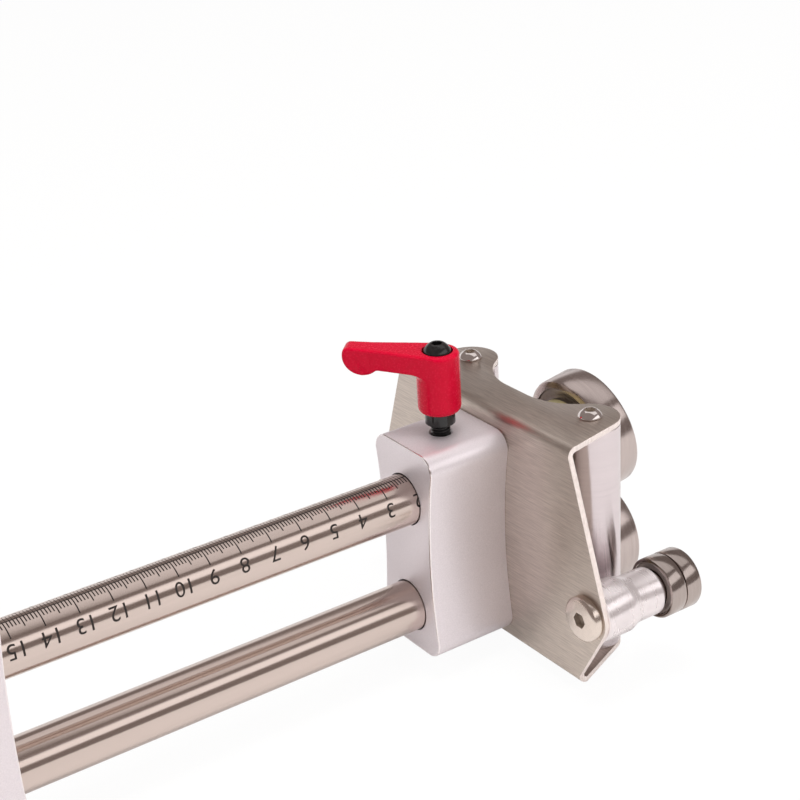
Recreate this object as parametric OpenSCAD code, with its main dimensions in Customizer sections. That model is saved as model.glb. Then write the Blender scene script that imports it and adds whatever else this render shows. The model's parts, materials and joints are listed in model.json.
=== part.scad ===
// Seam bending tool: a roller head clamped on two guide rods, with a sliding stop block.
// X runs along the rods towards the rollers, Z is up, and the tool is symmetric about Y = 0.
// Inside the modules X = 0 is the head end of the rods, where the scale starts,
// and Z = 0 is midway between the rods. place() then sets the tool on its lowest point.

/* [Guide rods] */
// Diameter of each rod
rod_d = 16; // [14:0.5:17]
// Distance between the two rod axes
rod_spacing = 37; // [36:0.5:42]
// Length of each rod
rod_len = 200; // [190:1:320]
// Chamfer on the rod ends
rod_chamfer = 1; // [0.5:0.1:1.5]

/* [Blocks] */
// Depth of each block along the rods
block_depth = 29; // [28:0.5:34]
// Width of a block across its rounded ends
block_w = 29; // [28:0.5:34]
// How far each side of a block draws in at mid height
block_waist = 2.5; // [1:0.1:3]
// Metal above the axis of the upper rod
block_above = 18; // [16:0.5:22]
// Metal below the axis of the lower rod
block_below = 14; // [13:0.5:18]
// Corner radius of the block section
block_corner = 5.5; // [4:0.5:7]
// How deep the rods sit in the head block
rod_grip = 20; // [17:0.5:21]
// Scale reading at the face of the stop block
stop_reading = 155.5; // [60:0.5:160]

/* [Head plate] */
// Sheet thickness
plate_t = 1.5; // [1.2:0.1:2]
// Inside radius of the two bends
bend_r = 1.5; // [1:0.1:3]
// Top of the plate above the middle of the rods
plate_up = 41.7; // [39:0.1:46]
// Underside of the plate below the middle of the rods
plate_down = 36.5; // [34:0.1:40]
// Width of the plate at its top bend
plate_top_w = 84.6; // [80:0.2:92]
// Width of the plate at its bottom bend
plate_bottom_w = 92.8; // [84:0.2:96]
// Radius of the lugs round the arm screws
lug_r = 8; // [7.6:0.1:10]
// Radius of the ears round the columns
ear_r = 9; // [8:0.1:10]
// Depth of a flange between its ears
flange_mid = 14.8; // [12:0.1:17]
// Radius of the sweep from the ears to the middle of a flange
notch_r = 20; // [17:0.5:22]

/* [Columns] */
// Diameter of each column
col_d = 18; // [15:0.5:18]
// Column axis ahead of the outer face of the plate
col_x = 19.2; // [17:0.1:22]
// Distance between the two column axes
col_gap = 59.2; // [57:0.2:62]

/* [Rollers] */
// Outside diameter of the upper roller
upper_od = 40; // [37:0.5:42]
// Bore of the upper roller
upper_bore = 17; // [15:0.5:18]
// Width of the upper roller
upper_w = 11; // [10:0.5:12]
// Tilt of the upper roller axis
upper_tilt = 9.4; // [6:0.2:12]
// Middle of the upper roller ahead of the outer face of the plate
upper_x = 41.6; // [38:0.1:46]
// Outside diameter of the lower roller
lower_od = 35; // [33:0.5:36]
// Bore of the lower roller
lower_bore = 15; // [13:0.5:16]
// Width of the lower roller
lower_w = 11; // [10:0.5:12]
// Middle of the lower roller ahead of the outer face of the plate
lower_x = 45.1; // [40:0.1:48]
// Lower roller axis below the middle of the rods
lower_drop = 19.85; // [19:0.05:21]
// Gap for the sheet between the two rollers
sheet_gap = 0.9; // [0.6:0.1:2]
// Chamfer on the rims of the large rollers
rim_chamfer = 1; // [0.5:0.1:1.2]
// Diameter of the boss behind the upper roller
upper_boss_d = 22; // [20:0.5:22.5]
// Diameter of the boss behind the lower roller
lower_boss_d = 20; // [18:0.5:20.5]
// Diameter of the threaded tail of each axle
tail_d = 10; // [8:0.5:11]

/* [Support arms] */
// Distance between the two arm axes
arm_gap = 100.6; // [98:0.2:104]
// Arm axis below the middle of the rods
arm_drop = 10.7; // [8:0.1:14]
// Diameter of an arm next to the plate
arm_big_d = 17.6; // [16:0.1:18]
// Length of the thick part of an arm
arm_big_len = 10.4; // [8:0.1:13]
// Length of the cone between the two arm diameters
arm_cone_len = 3.3; // [1:0.1:4]
// Diameter of an arm next to its bearings
arm_small_d = 15; // [13:0.1:15.5]
// Length of an arm from the plate to its shoulder
arm_len = 23.1; // [18:0.1:30]
// Outside diameter of the small bearings
small_od = 19; // [18:0.5:20]
// Bore of the small bearings
small_bore = 8; // [7:0.5:8.5]
// Width of each small bearing
small_w = 6; // [5.5:0.1:7]
// Chamfer on the rims of the small bearings
small_chamfer = 0.55; // [0.3:0.05:0.7]

/* [Clamp lever] */
// Diameter of the lever hub
hub_d = 13.2; // [12.8:0.1:14]
// Height of the lever hub
hub_h = 19.3; // [19:0.1:22]
// Chamfer on the ends of the lever hub
hub_chamfer = 1; // [0.4:0.1:1.2]
// Lever axis to the tip of the handle
lever_reach = 28.5; // [27:0.1:45]
// Direction of the handle, counted from the rollers
lever_angle = 135; // [90:1:270]
// Rise of the handle arm towards its tip, in degrees
handle_rise = 3; // [1:0.5:6]
// Width of the handle arm at its tip
handle_w = 6.4; // [5.6:0.1:8]
// Height of the handle arm
handle_t = 6.4; // [6:0.1:7]
// Diameter of the rounded tip
tip_d = 12; // [11.4:0.1:12.6]
// Middle of the rounded tip below the top of the handle
tip_below = 2.6; // [2.2:0.1:3.4]
// Diameter of the steel insert
insert_d = 9.1; // [8.9:0.1:10]
// Height of the insert that shows below the hub
insert_show = 4.1; // [3:0.1:6]
// Height of the stud that shows above the block
stud_show = 3.2; // [2:0.1:6]
// Diameter of the threaded stud
stud_d = 6; // [5:0.5:6.5]
// Number of serrations between handle and insert
serrations = 24; // [16:1:30]
// Lift of the handle that frees it from the insert
lever_lift = 4; // [3.6:0.1:4.4]
// Wire diameter of the lever spring
spring_wire = 0.6; // [0.4:0.05:0.65]
// Turns of the lever spring
spring_turns = 4; // [3:0.5:4.5]

/* [Screws] */
// Head diameter of the column and arm end screws
m4_head_d = 7.6; // [7:0.1:8]
// Head height of the column and arm end screws
m4_head_h = 2.2; // [1.8:0.1:2.6]
// Head diameter of the plate screws
m5_head_d = 9.5; // [8.5:0.1:9.6]
// Head height of the plate screws
m5_head_h = 2.75; // [2.3:0.05:3.2]
// Head diameter of the axle end screws
m6_head_d = 10.5; // [9.5:0.1:11]
// Head height of the axle end screws
m6_head_h = 3.3; // [2.8:0.1:3.8]
// Head diameter of the arm screws
arm_head_d = 14.2; // [13:0.1:15.6]
// Head height of the arm screws
arm_head_h = 3.2; // [2.2:0.1:3.6]
// Thickness of the axle washers
axle_washer_t = 1.5; // [1:0.1:2]
// Thickness of the arm washers
arm_washer_t = 1; // [0.6:0.1:1.6]

/* [Clearances] */
// Radial clearance of the rods in their bores
slide_fit = 0.05; // [0.02:0.01:0.1]
// Radial clearance round fixed screws, axles and bearing seats
seat_fit = 0.02; // [0.01:0.01:0.05]
// Gap between pieces that move past each other
run_gap = 0.3; // [0.2:0.05:0.5]

/* [Hidden] */
$fn = 72;
m4_d = 4;
m5_d = 5;
m6_d = 6;
m4_len = 10;
m5_len = 10;
m6_len = 9;
arm_screw_len = 13;
arm_drive_d = 5.2;
drive_share = 0.45;
dome_flat = 0.2;
edge_chamfer = 0.5;
past = 1;
reach_past = rod_len;

upper_rod_z = rod_spacing / 2;
lower_rod_z = -rod_spacing / 2;
block_top = upper_rod_z + block_above;
block_bottom = lower_rod_z - block_below;
block_mid_z = (block_top + block_bottom) / 2;
block_h = block_top - block_bottom;
head_back = -rod_grip;
plate_x = block_depth - rod_grip;
plate_in = plate_x + plate_t;
bend_out = bend_r + plate_t;
clamp_x = head_back + block_depth / 2;
stop_face = -stop_reading;
stop_back = stop_face - block_depth;
set_screw_len = 4;

// Places of the columns, the arms and the plate screws
col_at = [plate_x + col_x, col_gap / 2];
arm_at = [arm_gap / 2, -arm_drop];
plate_screw_y = 7.5;
lower_z = -lower_drop;
half_rim = upper_w / 2 - rim_chamfer;
upper_z = lower_z + lower_od / 2 + sheet_gap + half_rim * sin(upper_tilt) + upper_od / 2 * cos(upper_tilt);
plate_screw_z = (upper_z - upper_boss_d / 2 + lower_z + lower_boss_d / 2) / 2;
upper_mid_x = plate_x + upper_x;
lower_mid_x = plate_x + lower_x;

// Shape of a bearing, from its bore and outside diameter
ball_share = 0.29;
groove_share = 0.2;
race_gap = 0.25;
shield_t = 0.4;
shield_inset = 0.2;
ring_relief = 0.1;
cage_wall = 0.9;
large_balls = 8;
small_balls = 7;
function pitch_r(b) = (b[0] + b[1]) / 4;
function race_d(b) = ball_share * (b[1] - b[0]);
function ball_d(b) = race_d(b) - 2 * race_gap;
function inner_shoulder(b) = pitch_r(b) - race_d(b) * (0.5 - groove_share);
function outer_shoulder(b) = pitch_r(b) + race_d(b) * (0.5 - groove_share);
function shield_seat(b) = 0.7 * outer_shoulder(b) + 0.3 * b[1] / 2;
function shield_z(b) = b[2] / 2 - shield_inset - shield_t;
upper_bearing = [upper_bore, upper_od, upper_w];
lower_bearing = [lower_bore, lower_od, lower_w];
small_bearing = [small_bore, small_od, small_w];

// The arm's shoulder and the two bearings on its spigot
arm_boss_len = 0.8;
arm_boss_r = inner_shoulder(small_bearing) - run_gap;
first_bearing_x = plate_in + arm_len + arm_boss_len;
stack_end_x = first_bearing_x + 2 * small_w;

// Heights of the clamp lever
insert_bottom = block_top + stud_show;
hub_bottom = insert_bottom + insert_show;
pad_h = 3;
pad_bottom = upper_rod_z + rod_d / 2 + run_gap;
pad_side_gap = 0.2;
tooth_len = 3.4;
tooth_h = 0.45;
tooth_r = insert_d / 2 - 0.35;
tooth_gap = 0.12;
neck_d = 6.4;
neck_h = 8;
socket_h = neck_h + run_gap;
shoulder_t = 3.2;
shoulder_h = socket_h + shoulder_t;
lever_screw_d = 4;
lever_head_d = 8.4;
lever_head_h = 2.8;
lever_head_proud = 2.4;
lever_head_seat = hub_h + lever_head_proud - lever_head_h;
recess_d = 9.4;
screw_room = 0.4;

// Height of the lowest screw heads and the middle of the tool's length
floor_drop = plate_down + m4_head_h;
lower_tip_x = lower_mid_x + lower_w / 2 + axle_washer_t + m6_head_h;
mid_x = (lower_tip_x - rod_len) / 2;

// Colours of the finishes
ground_steel = [0.62, 0.58, 0.55];
satin_aluminium = [0.80, 0.80, 0.81];
turned_aluminium = [0.86, 0.86, 0.87];
brushed_steel = [0.60, 0.56, 0.53];
bright_steel = [0.72, 0.70, 0.68];
bearing_steel = [0.66, 0.64, 0.61];
shield_steel = [0.40, 0.38, 0.36];
yellow_zinc = [0.75, 0.68, 0.38];
nickel = [0.78, 0.73, 0.66];
black_oxide = [0.06, 0.06, 0.06];
lever_red = [0.75, 0.05, 0.15];

// Shared helpers

// Sets the tool on its lowest point, midway along its length
module place() {
  translate([-mid_x, 0, floor_drop]) children();
}

// Extrudes a Y-Z outline along X
module along_x(x, length) {
  translate([x, 0, 0]) rotate([90, 0, 90]) linear_extrude(length) children();
}

// Turns a piece made along Z so that it lies along X
module lay_x(at) {
  translate(at) rotate([0, 90, 0]) children();
}

// Makes a piece on the right-hand side and its mirror image on the left
module both_sides() {
  for (side = [0, 1]) mirror([0, side, 0]) children();
}

// Point where a line from p touches a circle, on its left (turn = 1) or right (turn = -1)
function tangent_point(p, c, r, turn) =
  let (
    d = norm(c - p),
    heading = atan2(c[1] - p[1], c[0] - p[0]) + turn * asin(r / d)
  )
  p + sqrt(d * d - r * r) * [cos(heading), sin(heading)];

// Bar along Z with a chamfer at both ends
module chamfered_bar(d, length, chamfer) {
  rotate_extrude() polygon([
    [0, 0], [d / 2 - chamfer, 0], [d / 2, chamfer],
    [d / 2, length - chamfer], [d / 2 - chamfer, length], [0, length]
  ]);
}

// Washer lying on Z = 0
module washer(d, hole_d, t) {
  difference() {
    cylinder(d = d, h = t);
    translate([0, 0, -past]) cylinder(d = hole_d, h = t + 2 * past);
  }
}

// Socket screw with a domed head above Z = 0, flat round its socket, and its shank below
module button_screw(d, head_d, head_h, length) {
  dome_r = (head_d * head_d / 4 + head_h * head_h) / (2 * head_h);
  difference() {
    union() {
      intersection() {
        translate([0, 0, head_h * (1 + dome_flat) - dome_r]) sphere(r = dome_r);
        cylinder(d = head_d, h = head_h);
      }
      translate([0, 0, -length]) cylinder(d = d - 2 * seat_fit, h = length + past);
    }
    translate([0, 0, head_h / 2]) cylinder(d = head_d * drive_share, h = head_h, $fn = 6);
  }
}

// Guide rods

module guide_rod(z) {
  lay_x([-rod_len, 0, z]) chamfered_bar(rod_d, rod_len, rod_chamfer);
}

module scale_rod() {
  color(ground_steel) guide_rod(upper_rod_z);
}

module plain_rod() {
  color(ground_steel) guide_rod(lower_rod_z);
}

// Blocks

// Rounded rectangle whose two long sides are drawn in by a shallow arc
module block_section() {
  straight = block_h / 2 - block_corner;
  waist_r = (straight * straight + block_waist * block_waist) / (2 * block_waist);
  translate([0, block_mid_z]) difference() {
    union() {
      square([block_w, block_h - 2 * block_corner], center = true);
      square([block_w - 2 * block_corner, block_h], center = true);
      for (y = [-1, 1], z = [-1, 1])
        translate([y * (block_w / 2 - block_corner), z * (block_h / 2 - block_corner)]) circle(r = block_corner);
    }
    for (y = [-1, 1])
      translate([y * (block_w / 2 - block_waist + waist_r), 0]) circle(r = waist_r, $fn = 360);
  }
}

// Bores for both rods, starting at x
module rod_bores(x, length) {
  for (z = [upper_rod_z, lower_rod_z])
    lay_x([x, 0, z]) cylinder(d = rod_d + 2 * slide_fit, h = length);
}

module stop_block() {
  color(satin_aluminium) difference() {
    along_x(stop_back, block_depth) block_section();
    rod_bores(stop_back - past, block_depth + 2 * past);
    for (z = [upper_rod_z, lower_rod_z])
      translate([stop_back + block_depth / 2, 0, z]) rotate([-90, 0, 0]) cylinder(d = m6_d, h = block_w);
  }
}

// Set screws that press on the rods from the hidden side of the stop block
module stop_set_screws() {
  color(black_oxide)
    for (z = [upper_rod_z, lower_rod_z])
      translate([stop_back + block_depth / 2, rod_d / 2 + run_gap, z]) rotate([-90, 0, 0]) difference() {
        cylinder(d = m6_d - 2 * seat_fit, h = set_screw_len);
        translate([0, 0, set_screw_len / 2]) cylinder(d = m6_d / 2, h = set_screw_len, $fn = 6);
      }
}

module head_block() {
  color(satin_aluminium) difference() {
    along_x(head_back, block_depth) block_section();
    rod_bores(head_back - past, rod_grip + past + run_gap);
    for (z = [upper_z, lower_z]) lay_x([0, 0, z]) cylinder(d = tail_d, h = block_depth);
    both_sides() lay_x([plate_x - m5_len, plate_screw_y, plate_screw_z]) cylinder(d = m5_d, h = block_depth);
    translate([clamp_x, 0, upper_rod_z]) cylinder(d = stud_d, h = block_h);
  }
}

// Head plate

// Front of the plate between its bends: slanted sides run into the lugs
module plate_outline() {
  top = [plate_top_w / 2, plate_up - bend_out];
  bottom = [plate_bottom_w / 2, bend_out - plate_down];
  upper_touch = tangent_point(top, arm_at, lug_r, 1);
  lower_touch = tangent_point(bottom, arm_at, lug_r, -1);
  for (side = [0, 1]) mirror([side, 0]) {
    polygon([[0, top[1]], top, upper_touch, arm_at, lower_touch, bottom, [0, bottom[1]]]);
    translate(arm_at) circle(r = lug_r);
  }
}

// Flange seen from above: ears round the columns and a swept cut between them
module flange_outline(width) {
  start = [plate_x + bend_out, width / 2];
  mid_edge = plate_x + flange_mid;
  sweep_x = mid_edge + notch_r;
  ear_to_sweep = ear_r + notch_r;
  sweep_y = col_at[1] - sqrt(pow(ear_to_sweep, 2) - pow(sweep_x - col_at[0], 2));
  sweep_at = [sweep_x, sweep_y];
  ear_touch = tangent_point(start, col_at, ear_r, 1);
  sweep_touch = col_at + (sweep_at - col_at) * ear_r / ear_to_sweep;
  difference() {
    for (side = [0, 1]) mirror([0, side]) {
      polygon([[start[0], 0], start, ear_touch, col_at, sweep_touch, [sweep_touch[0], 0]]);
      translate(col_at) circle(r = ear_r);
    }
    for (side = [0, 1]) mirror([0, side]) translate(sweep_at) circle(r = notch_r);
    translate([mid_edge, -sweep_y]) square([reach_past, 2 * sweep_y]);
    translate([sweep_touch[0], -sweep_touch[1]]) square([reach_past, 2 * sweep_touch[1]]);
  }
}

// Quarter round of the sheet along a bend, at the top (up = 1) or the bottom (up = -1)
module bend(width, z, up) {
  translate([plate_x + bend_out, width / 2, z]) rotate([90, 0, 0]) linear_extrude(width) difference() {
    intersection() {
      circle(r = bend_out);
      translate([-bend_out, up > 0 ? 0 : -bend_out]) square(bend_out);
    }
    circle(r = bend_r);
  }
}

module head_plate() {
  color(brushed_steel) difference() {
    union() {
      along_x(plate_x, plate_t) plate_outline();
      bend(plate_top_w, plate_up - bend_out, 1);
      bend(plate_bottom_w, bend_out - plate_down, -1);
      translate([0, 0, plate_up - plate_t]) linear_extrude(plate_t) flange_outline(plate_top_w);
      translate([0, 0, -plate_down]) linear_extrude(plate_t) flange_outline(plate_bottom_w);
    }
    both_sides() {
      translate([col_at[0], col_at[1], -reach_past / 2]) cylinder(d = m4_d, h = reach_past);
      lay_x([plate_x - past, arm_at[0], arm_at[1]]) cylinder(d = m6_d, h = plate_t + 2 * past);
      lay_x([plate_x - past, plate_screw_y, plate_screw_z]) cylinder(d = m5_d, h = plate_t + 2 * past);
    }
    for (z = [upper_z, lower_z]) lay_x([plate_x - past, 0, z]) cylinder(d = tail_d, h = plate_t + 2 * past);
  }
}

module plate_screws() {
  color(bright_steel) both_sides()
    lay_x([plate_in, plate_screw_y, plate_screw_z]) button_screw(m5_d, m5_head_d, m5_head_h, m5_len);
}

// Columns

module column(side) {
  bottom = plate_t - plate_down;
  height = plate_up - plate_t - bottom;
  translate([col_at[0], side * col_at[1], bottom]) difference() {
    chamfered_bar(col_d, height, edge_chamfer);
    translate([0, 0, -past]) cylinder(d = m4_d, h = m4_len + past);
    translate([0, 0, height - m4_len]) cylinder(d = m4_d, h = m4_len + past);
  }
}

module left_column() {
  color(bright_steel) column(1);
}

module right_column() {
  color(bright_steel) column(-1);
}

module column_top_screws() {
  color(bright_steel) both_sides()
    translate([col_at[0], col_at[1], plate_up]) button_screw(m4_d, m4_head_d, m4_head_h, m4_len);
}

module column_bottom_screws() {
  color(bright_steel) both_sides()
    translate([col_at[0], col_at[1], -plate_down]) mirror([0, 0, 1])
      button_screw(m4_d, m4_head_d, m4_head_h, m4_len);
}

// Bearings, made along Z about their middle

// Cuts both rims of a ring back by a chamfer
module ring_profile(r_in, r_out, half_w, chamfer_in, chamfer_out) {
  polygon([
    [r_in + chamfer_in, -half_w], [r_out - chamfer_out, -half_w], [r_out, chamfer_out - half_w],
    [r_out, half_w - chamfer_out], [r_out - chamfer_out, half_w], [r_in + chamfer_in, half_w],
    [r_in, half_w - chamfer_in], [r_in, chamfer_in - half_w]
  ]);
}

module outer_ring(b, chamfer) {
  seat = shield_seat(b);
  rotate_extrude() difference() {
    ring_profile(outer_shoulder(b), b[1] / 2, b[2] / 2 - ring_relief, 0, chamfer);
    translate([pitch_r(b), 0]) circle(d = race_d(b));
    for (side = [0, 1]) mirror([0, side]) translate([0, shield_z(b)]) square([seat, b[2]]);
  }
}

module inner_ring(b, chamfer) {
  rotate_extrude() difference() {
    ring_profile(b[0] / 2, inner_shoulder(b), b[2] / 2, chamfer / 2, 0);
    translate([pitch_r(b), 0]) circle(d = race_d(b));
  }
}

// Two pressed shields, dished towards the inner ring
module shields(b) {
  inner = inner_shoulder(b) + run_gap;
  seat = shield_seat(b) - seat_fit;
  dish = shield_t / 2;
  for (side = [0, 1]) mirror([0, 0, side]) translate([0, 0, shield_z(b)]) rotate_extrude() polygon([
    [inner, 0], [seat, 0], [seat, shield_t], [seat - 2 * shield_t, shield_t],
    [seat - 3 * shield_t, shield_t - dish], [inner, shield_t - dish]
  ]);
}

module balls(b, count) {
  for (i = [0 : count - 1]) rotate(i * 360 / count) translate([pitch_r(b), 0, 0]) sphere(d = ball_d(b));
}

// Ring round the pitch circle with a drilled pocket for each ball
module cage(b, count) {
  height = 2 * (shield_z(b) - run_gap);
  rotate(180 / count) difference() {
    translate([0, 0, -height / 2]) cylinder(r = pitch_r(b) + cage_wall / 2, h = height);
    translate([0, 0, -height]) cylinder(r = pitch_r(b) - cage_wall / 2, h = 2 * height);
    for (i = [0 : count - 1]) rotate((i + 0.5) * 360 / count) rotate([0, 90, 0])
      cylinder(d = ball_d(b) + 2 * run_gap, h = b[1]);
  }
}

// Where each bearing sits
module at_upper() {
  translate([upper_mid_x, 0, upper_z]) rotate([0, 90 - upper_tilt, 0]) children();
}

module at_lower() {
  lay_x([lower_mid_x, 0, lower_z]) children();
}

// Bearing number 0 (next to the arm) or 1 on the arm of one side
module at_small(side, number) {
  lay_x([first_bearing_x + (number + 0.5) * small_w, side * arm_at[0], arm_at[1]]) children();
}

module upper_outer_ring() { color(bearing_steel) at_upper() outer_ring(upper_bearing, rim_chamfer); }
module upper_inner_ring() { color(bearing_steel) at_upper() inner_ring(upper_bearing, rim_chamfer); }
module upper_shields() { color(shield_steel) at_upper() shields(upper_bearing); }
module upper_cage() { color(shield_steel) at_upper() cage(upper_bearing, large_balls); }
module upper_balls() { color(bright_steel) at_upper() balls(upper_bearing, large_balls); }

module lower_outer_ring() { color(bearing_steel) at_lower() outer_ring(lower_bearing, rim_chamfer); }
module lower_inner_ring() { color(bearing_steel) at_lower() inner_ring(lower_bearing, rim_chamfer); }
module lower_shields() { color(shield_steel) at_lower() shields(lower_bearing); }
module lower_cage() { color(shield_steel) at_lower() cage(lower_bearing, large_balls); }
module lower_balls() { color(bright_steel) at_lower() balls(lower_bearing, large_balls); }

module small_outer_ring(side, number) {
  color(bearing_steel) at_small(side, number) outer_ring(small_bearing, small_chamfer);
}
module small_inner_ring(side, number) {
  color(bearing_steel) at_small(side, number) inner_ring(small_bearing, small_chamfer);
}
module small_shields(side, number) {
  color(shield_steel) at_small(side, number) shields(small_bearing);
}
module small_cage(side, number) {
  color(shield_steel) at_small(side, number) cage(small_bearing, small_balls);
}
module small_ball_set(side, number) {
  color(bright_steel) at_small(side, number) balls(small_bearing, small_balls);
}

// Axles of the two large rollers

// Threaded tail that runs through the plate into the head block
module axle_tail(z) {
  lay_x([run_gap, 0, z]) cylinder(d = tail_d - 2 * seat_fit, h = plate_in + past - run_gap);
}

// Journal for a bearing, drilled for its end screw
module journal(b) {
  translate([0, 0, -b[2] / 2 - past]) cylinder(d = b[0] - 2 * seat_fit, h = b[2] + past);
}

module end_screw_hole(b) {
  translate([0, 0, b[2] / 2 - m6_len]) cylinder(d = m6_d, h = m6_len + past);
}

module upper_axle() {
  color(yellow_zinc) difference() {
    union() {
      axle_tail(upper_z);
      difference() {
        lay_x([plate_in, 0, upper_z]) cylinder(d = upper_boss_d, h = upper_x);
        at_upper() translate([0, 0, -upper_w / 2]) cylinder(r = reach_past, h = reach_past);
      }
      at_upper() journal(upper_bearing);
    }
    at_upper() end_screw_hole(upper_bearing);
  }
}

module lower_axle() {
  color(yellow_zinc) difference() {
    union() {
      axle_tail(lower_z);
      lay_x([plate_in, 0, lower_z]) cylinder(d = lower_boss_d, h = lower_mid_x - lower_w / 2 - plate_in);
      at_lower() journal(lower_bearing);
    }
    at_lower() end_screw_hole(lower_bearing);
  }
}

module axle_washer(b, boss_d) {
  translate([0, 0, b[2] / 2]) washer(boss_d, m6_d, axle_washer_t);
}

module axle_end_screw(b) {
  translate([0, 0, b[2] / 2 + axle_washer_t]) button_screw(m6_d, m6_head_d, m6_head_h, m6_len);
}

module upper_washer() { color(bright_steel) at_upper() axle_washer(upper_bearing, upper_boss_d); }
module upper_end_screw() { color(bright_steel) at_upper() axle_end_screw(upper_bearing); }
module lower_washer() { color(bright_steel) at_lower() axle_washer(lower_bearing, lower_boss_d); }
module lower_end_screw() { color(bright_steel) at_lower() axle_end_screw(lower_bearing); }

// Support arms

// Turned arm: thick foot, cone, slim neck, shoulder and the spigot for two bearings
module arm(side) {
  big_r = arm_big_d / 2;
  small_r = arm_small_d / 2;
  spigot_r = small_bore / 2 - seat_fit;
  shoulder_x = arm_len + arm_boss_len;
  end_x = shoulder_x + 2 * small_w;
  lay_x([plate_in, side * arm_at[0], arm_at[1]]) difference() {
    rotate_extrude() polygon([
      [0, 0], [big_r - edge_chamfer, 0], [big_r, edge_chamfer],
      [big_r, arm_big_len], [small_r, arm_big_len + arm_cone_len],
      [small_r, arm_len - edge_chamfer], [small_r - edge_chamfer, arm_len], [arm_boss_r, arm_len],
      [arm_boss_r, shoulder_x], [spigot_r, shoulder_x], [spigot_r, end_x], [0, end_x]
    ]);
    translate([0, 0, -past]) cylinder(d = m6_d, h = arm_screw_len - plate_t + past);
    translate([0, 0, end_x - m4_len]) cylinder(d = m4_d, h = m4_len + past);
  }
}

module left_arm() {
  color(turned_aluminium) arm(1);
}

module right_arm() {
  color(turned_aluminium) arm(-1);
}

// Low-head socket screws that hold the arms from the front of the plate
module arm_screws() {
  color(nickel) both_sides() lay_x([plate_x, arm_at[0], arm_at[1]]) difference() {
    union() {
      mirror([0, 0, 1]) rotate_extrude() polygon([
        [0, 0], [arm_head_d / 2, 0], [arm_head_d / 2, arm_head_h - edge_chamfer],
        [arm_head_d / 2 - edge_chamfer, arm_head_h], [0, arm_head_h]
      ]);
      translate([0, 0, -past]) cylinder(d = m6_d - 2 * seat_fit, h = arm_screw_len + past);
    }
    translate([0, 0, -arm_head_h - past]) cylinder(d = arm_drive_d, h = arm_head_h + past, $fn = 6);
  }
}

module arm_washers() {
  color(bright_steel) both_sides()
    lay_x([stack_end_x, arm_at[0], arm_at[1]]) washer(2 * arm_boss_r, m4_d, arm_washer_t);
}

module arm_end_screws() {
  color(bright_steel) both_sides()
    lay_x([stack_end_x + arm_washer_t, arm_at[0], arm_at[1]])
      button_screw(m4_d, m4_head_d, m4_head_h, m4_len - arm_washer_t);
}

// Clamp lever

// Star outline of the serrations, with its tips at radius r
module serration_outline(r) {
  polygon([
    for (i = [0 : 2 * serrations - 1])
      let (a = i * 180 / serrations, tip = i % 2 == 0 ? r : r - tooth_h) tip * [cos(a), sin(a)]
  ]);
}

// Puts a piece made about the hub's foot in its place on the block
module at_lever() {
  translate([clamp_x, 0, hub_bottom]) rotate(lever_angle) children();
}

// Brass pad at the foot of the stud, hollowed to the rod
module clamp_pad() {
  color("goldenrod") difference() {
    translate([clamp_x, 0, upper_rod_z]) cylinder(d = stud_d - 2 * pad_side_gap, h = pad_bottom + pad_h - upper_rod_z);
    lay_x([head_back, 0, upper_rod_z]) cylinder(d = rod_d + 2 * run_gap, h = block_depth);
  }
}

// Steel insert: threaded stud, round collar, serrations and the neck for the retaining screw
module lever_insert() {
  stud_foot = pad_bottom + pad_h - hub_bottom;
  color(black_oxide) at_lever() difference() {
    union() {
      translate([0, 0, stud_foot]) cylinder(d = stud_d - 2 * slide_fit, h = -stud_foot);
      translate([0, 0, -insert_show]) chamfered_bar(insert_d, insert_show, edge_chamfer / 2);
      translate([0, 0, -past]) linear_extrude(tooth_len + past) serration_outline(tooth_r);
      cylinder(d = neck_d, h = neck_h);
    }
    translate([0, 0, past]) cylinder(d = lever_screw_d, h = neck_h);
  }
}

module lever_screw() {
  color(black_oxide) at_lever() translate([0, 0, lever_head_seat])
    button_screw(lever_screw_d, lever_head_d, lever_head_h, lever_head_seat - 2 * past);
}

// Lever spring: one unbroken wire, wound between the hub's shoulder and the screw head
spring_r = (recess_d + lever_screw_d) / 4;
spring_low = shoulder_h + spring_wire;
spring_high = lever_head_seat - spring_wire;
spring_rings = 8;
spring_sides = 6;
spring_steps = spring_turns * spring_rings;
function spring_point(i) =
  let (a = i * 360 / spring_rings)
  [spring_r * cos(a), spring_r * sin(a), spring_low + (spring_high - spring_low) * i / spring_steps];
spring_self_gap = min([
  for (i = [0 : spring_steps - spring_rings], j = [i + spring_rings / 2 : spring_steps])
    norm(spring_point(j) - spring_point(i))
]) - spring_wire;
echo(str("Least gap between turns of the lever spring: ", spring_self_gap, " mm"));

module lever_spring() {
  points = [
    for (i = [0 : spring_steps], s = [0 : spring_sides - 1])
      let (
        p = spring_point(i), turn = i * 360 / spring_rings, a = s * 360 / spring_sides,
        out = spring_wire / 2 * cos(a)
      )
      p + [out * cos(turn), out * sin(turn), spring_wire / 2 * sin(a)]
  ];
  sides = [
    for (i = [0 : spring_steps - 1], s = [0 : spring_sides - 1])
      let (
        a = i * spring_sides + s, b = i * spring_sides + (s + 1) % spring_sides,
        c = a + spring_sides, d = b + spring_sides
      )
      each [[a, b, d], [a, d, c]]
  ];
  last = spring_steps * spring_sides;
  ends = [
    for (s = [1 : spring_sides - 2]) each [[0, s + 1, s], [last, last + s, last + s + 1]]
  ];
  color(bright_steel) at_lever() polyhedron(points, concat(sides, ends));
}

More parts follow.
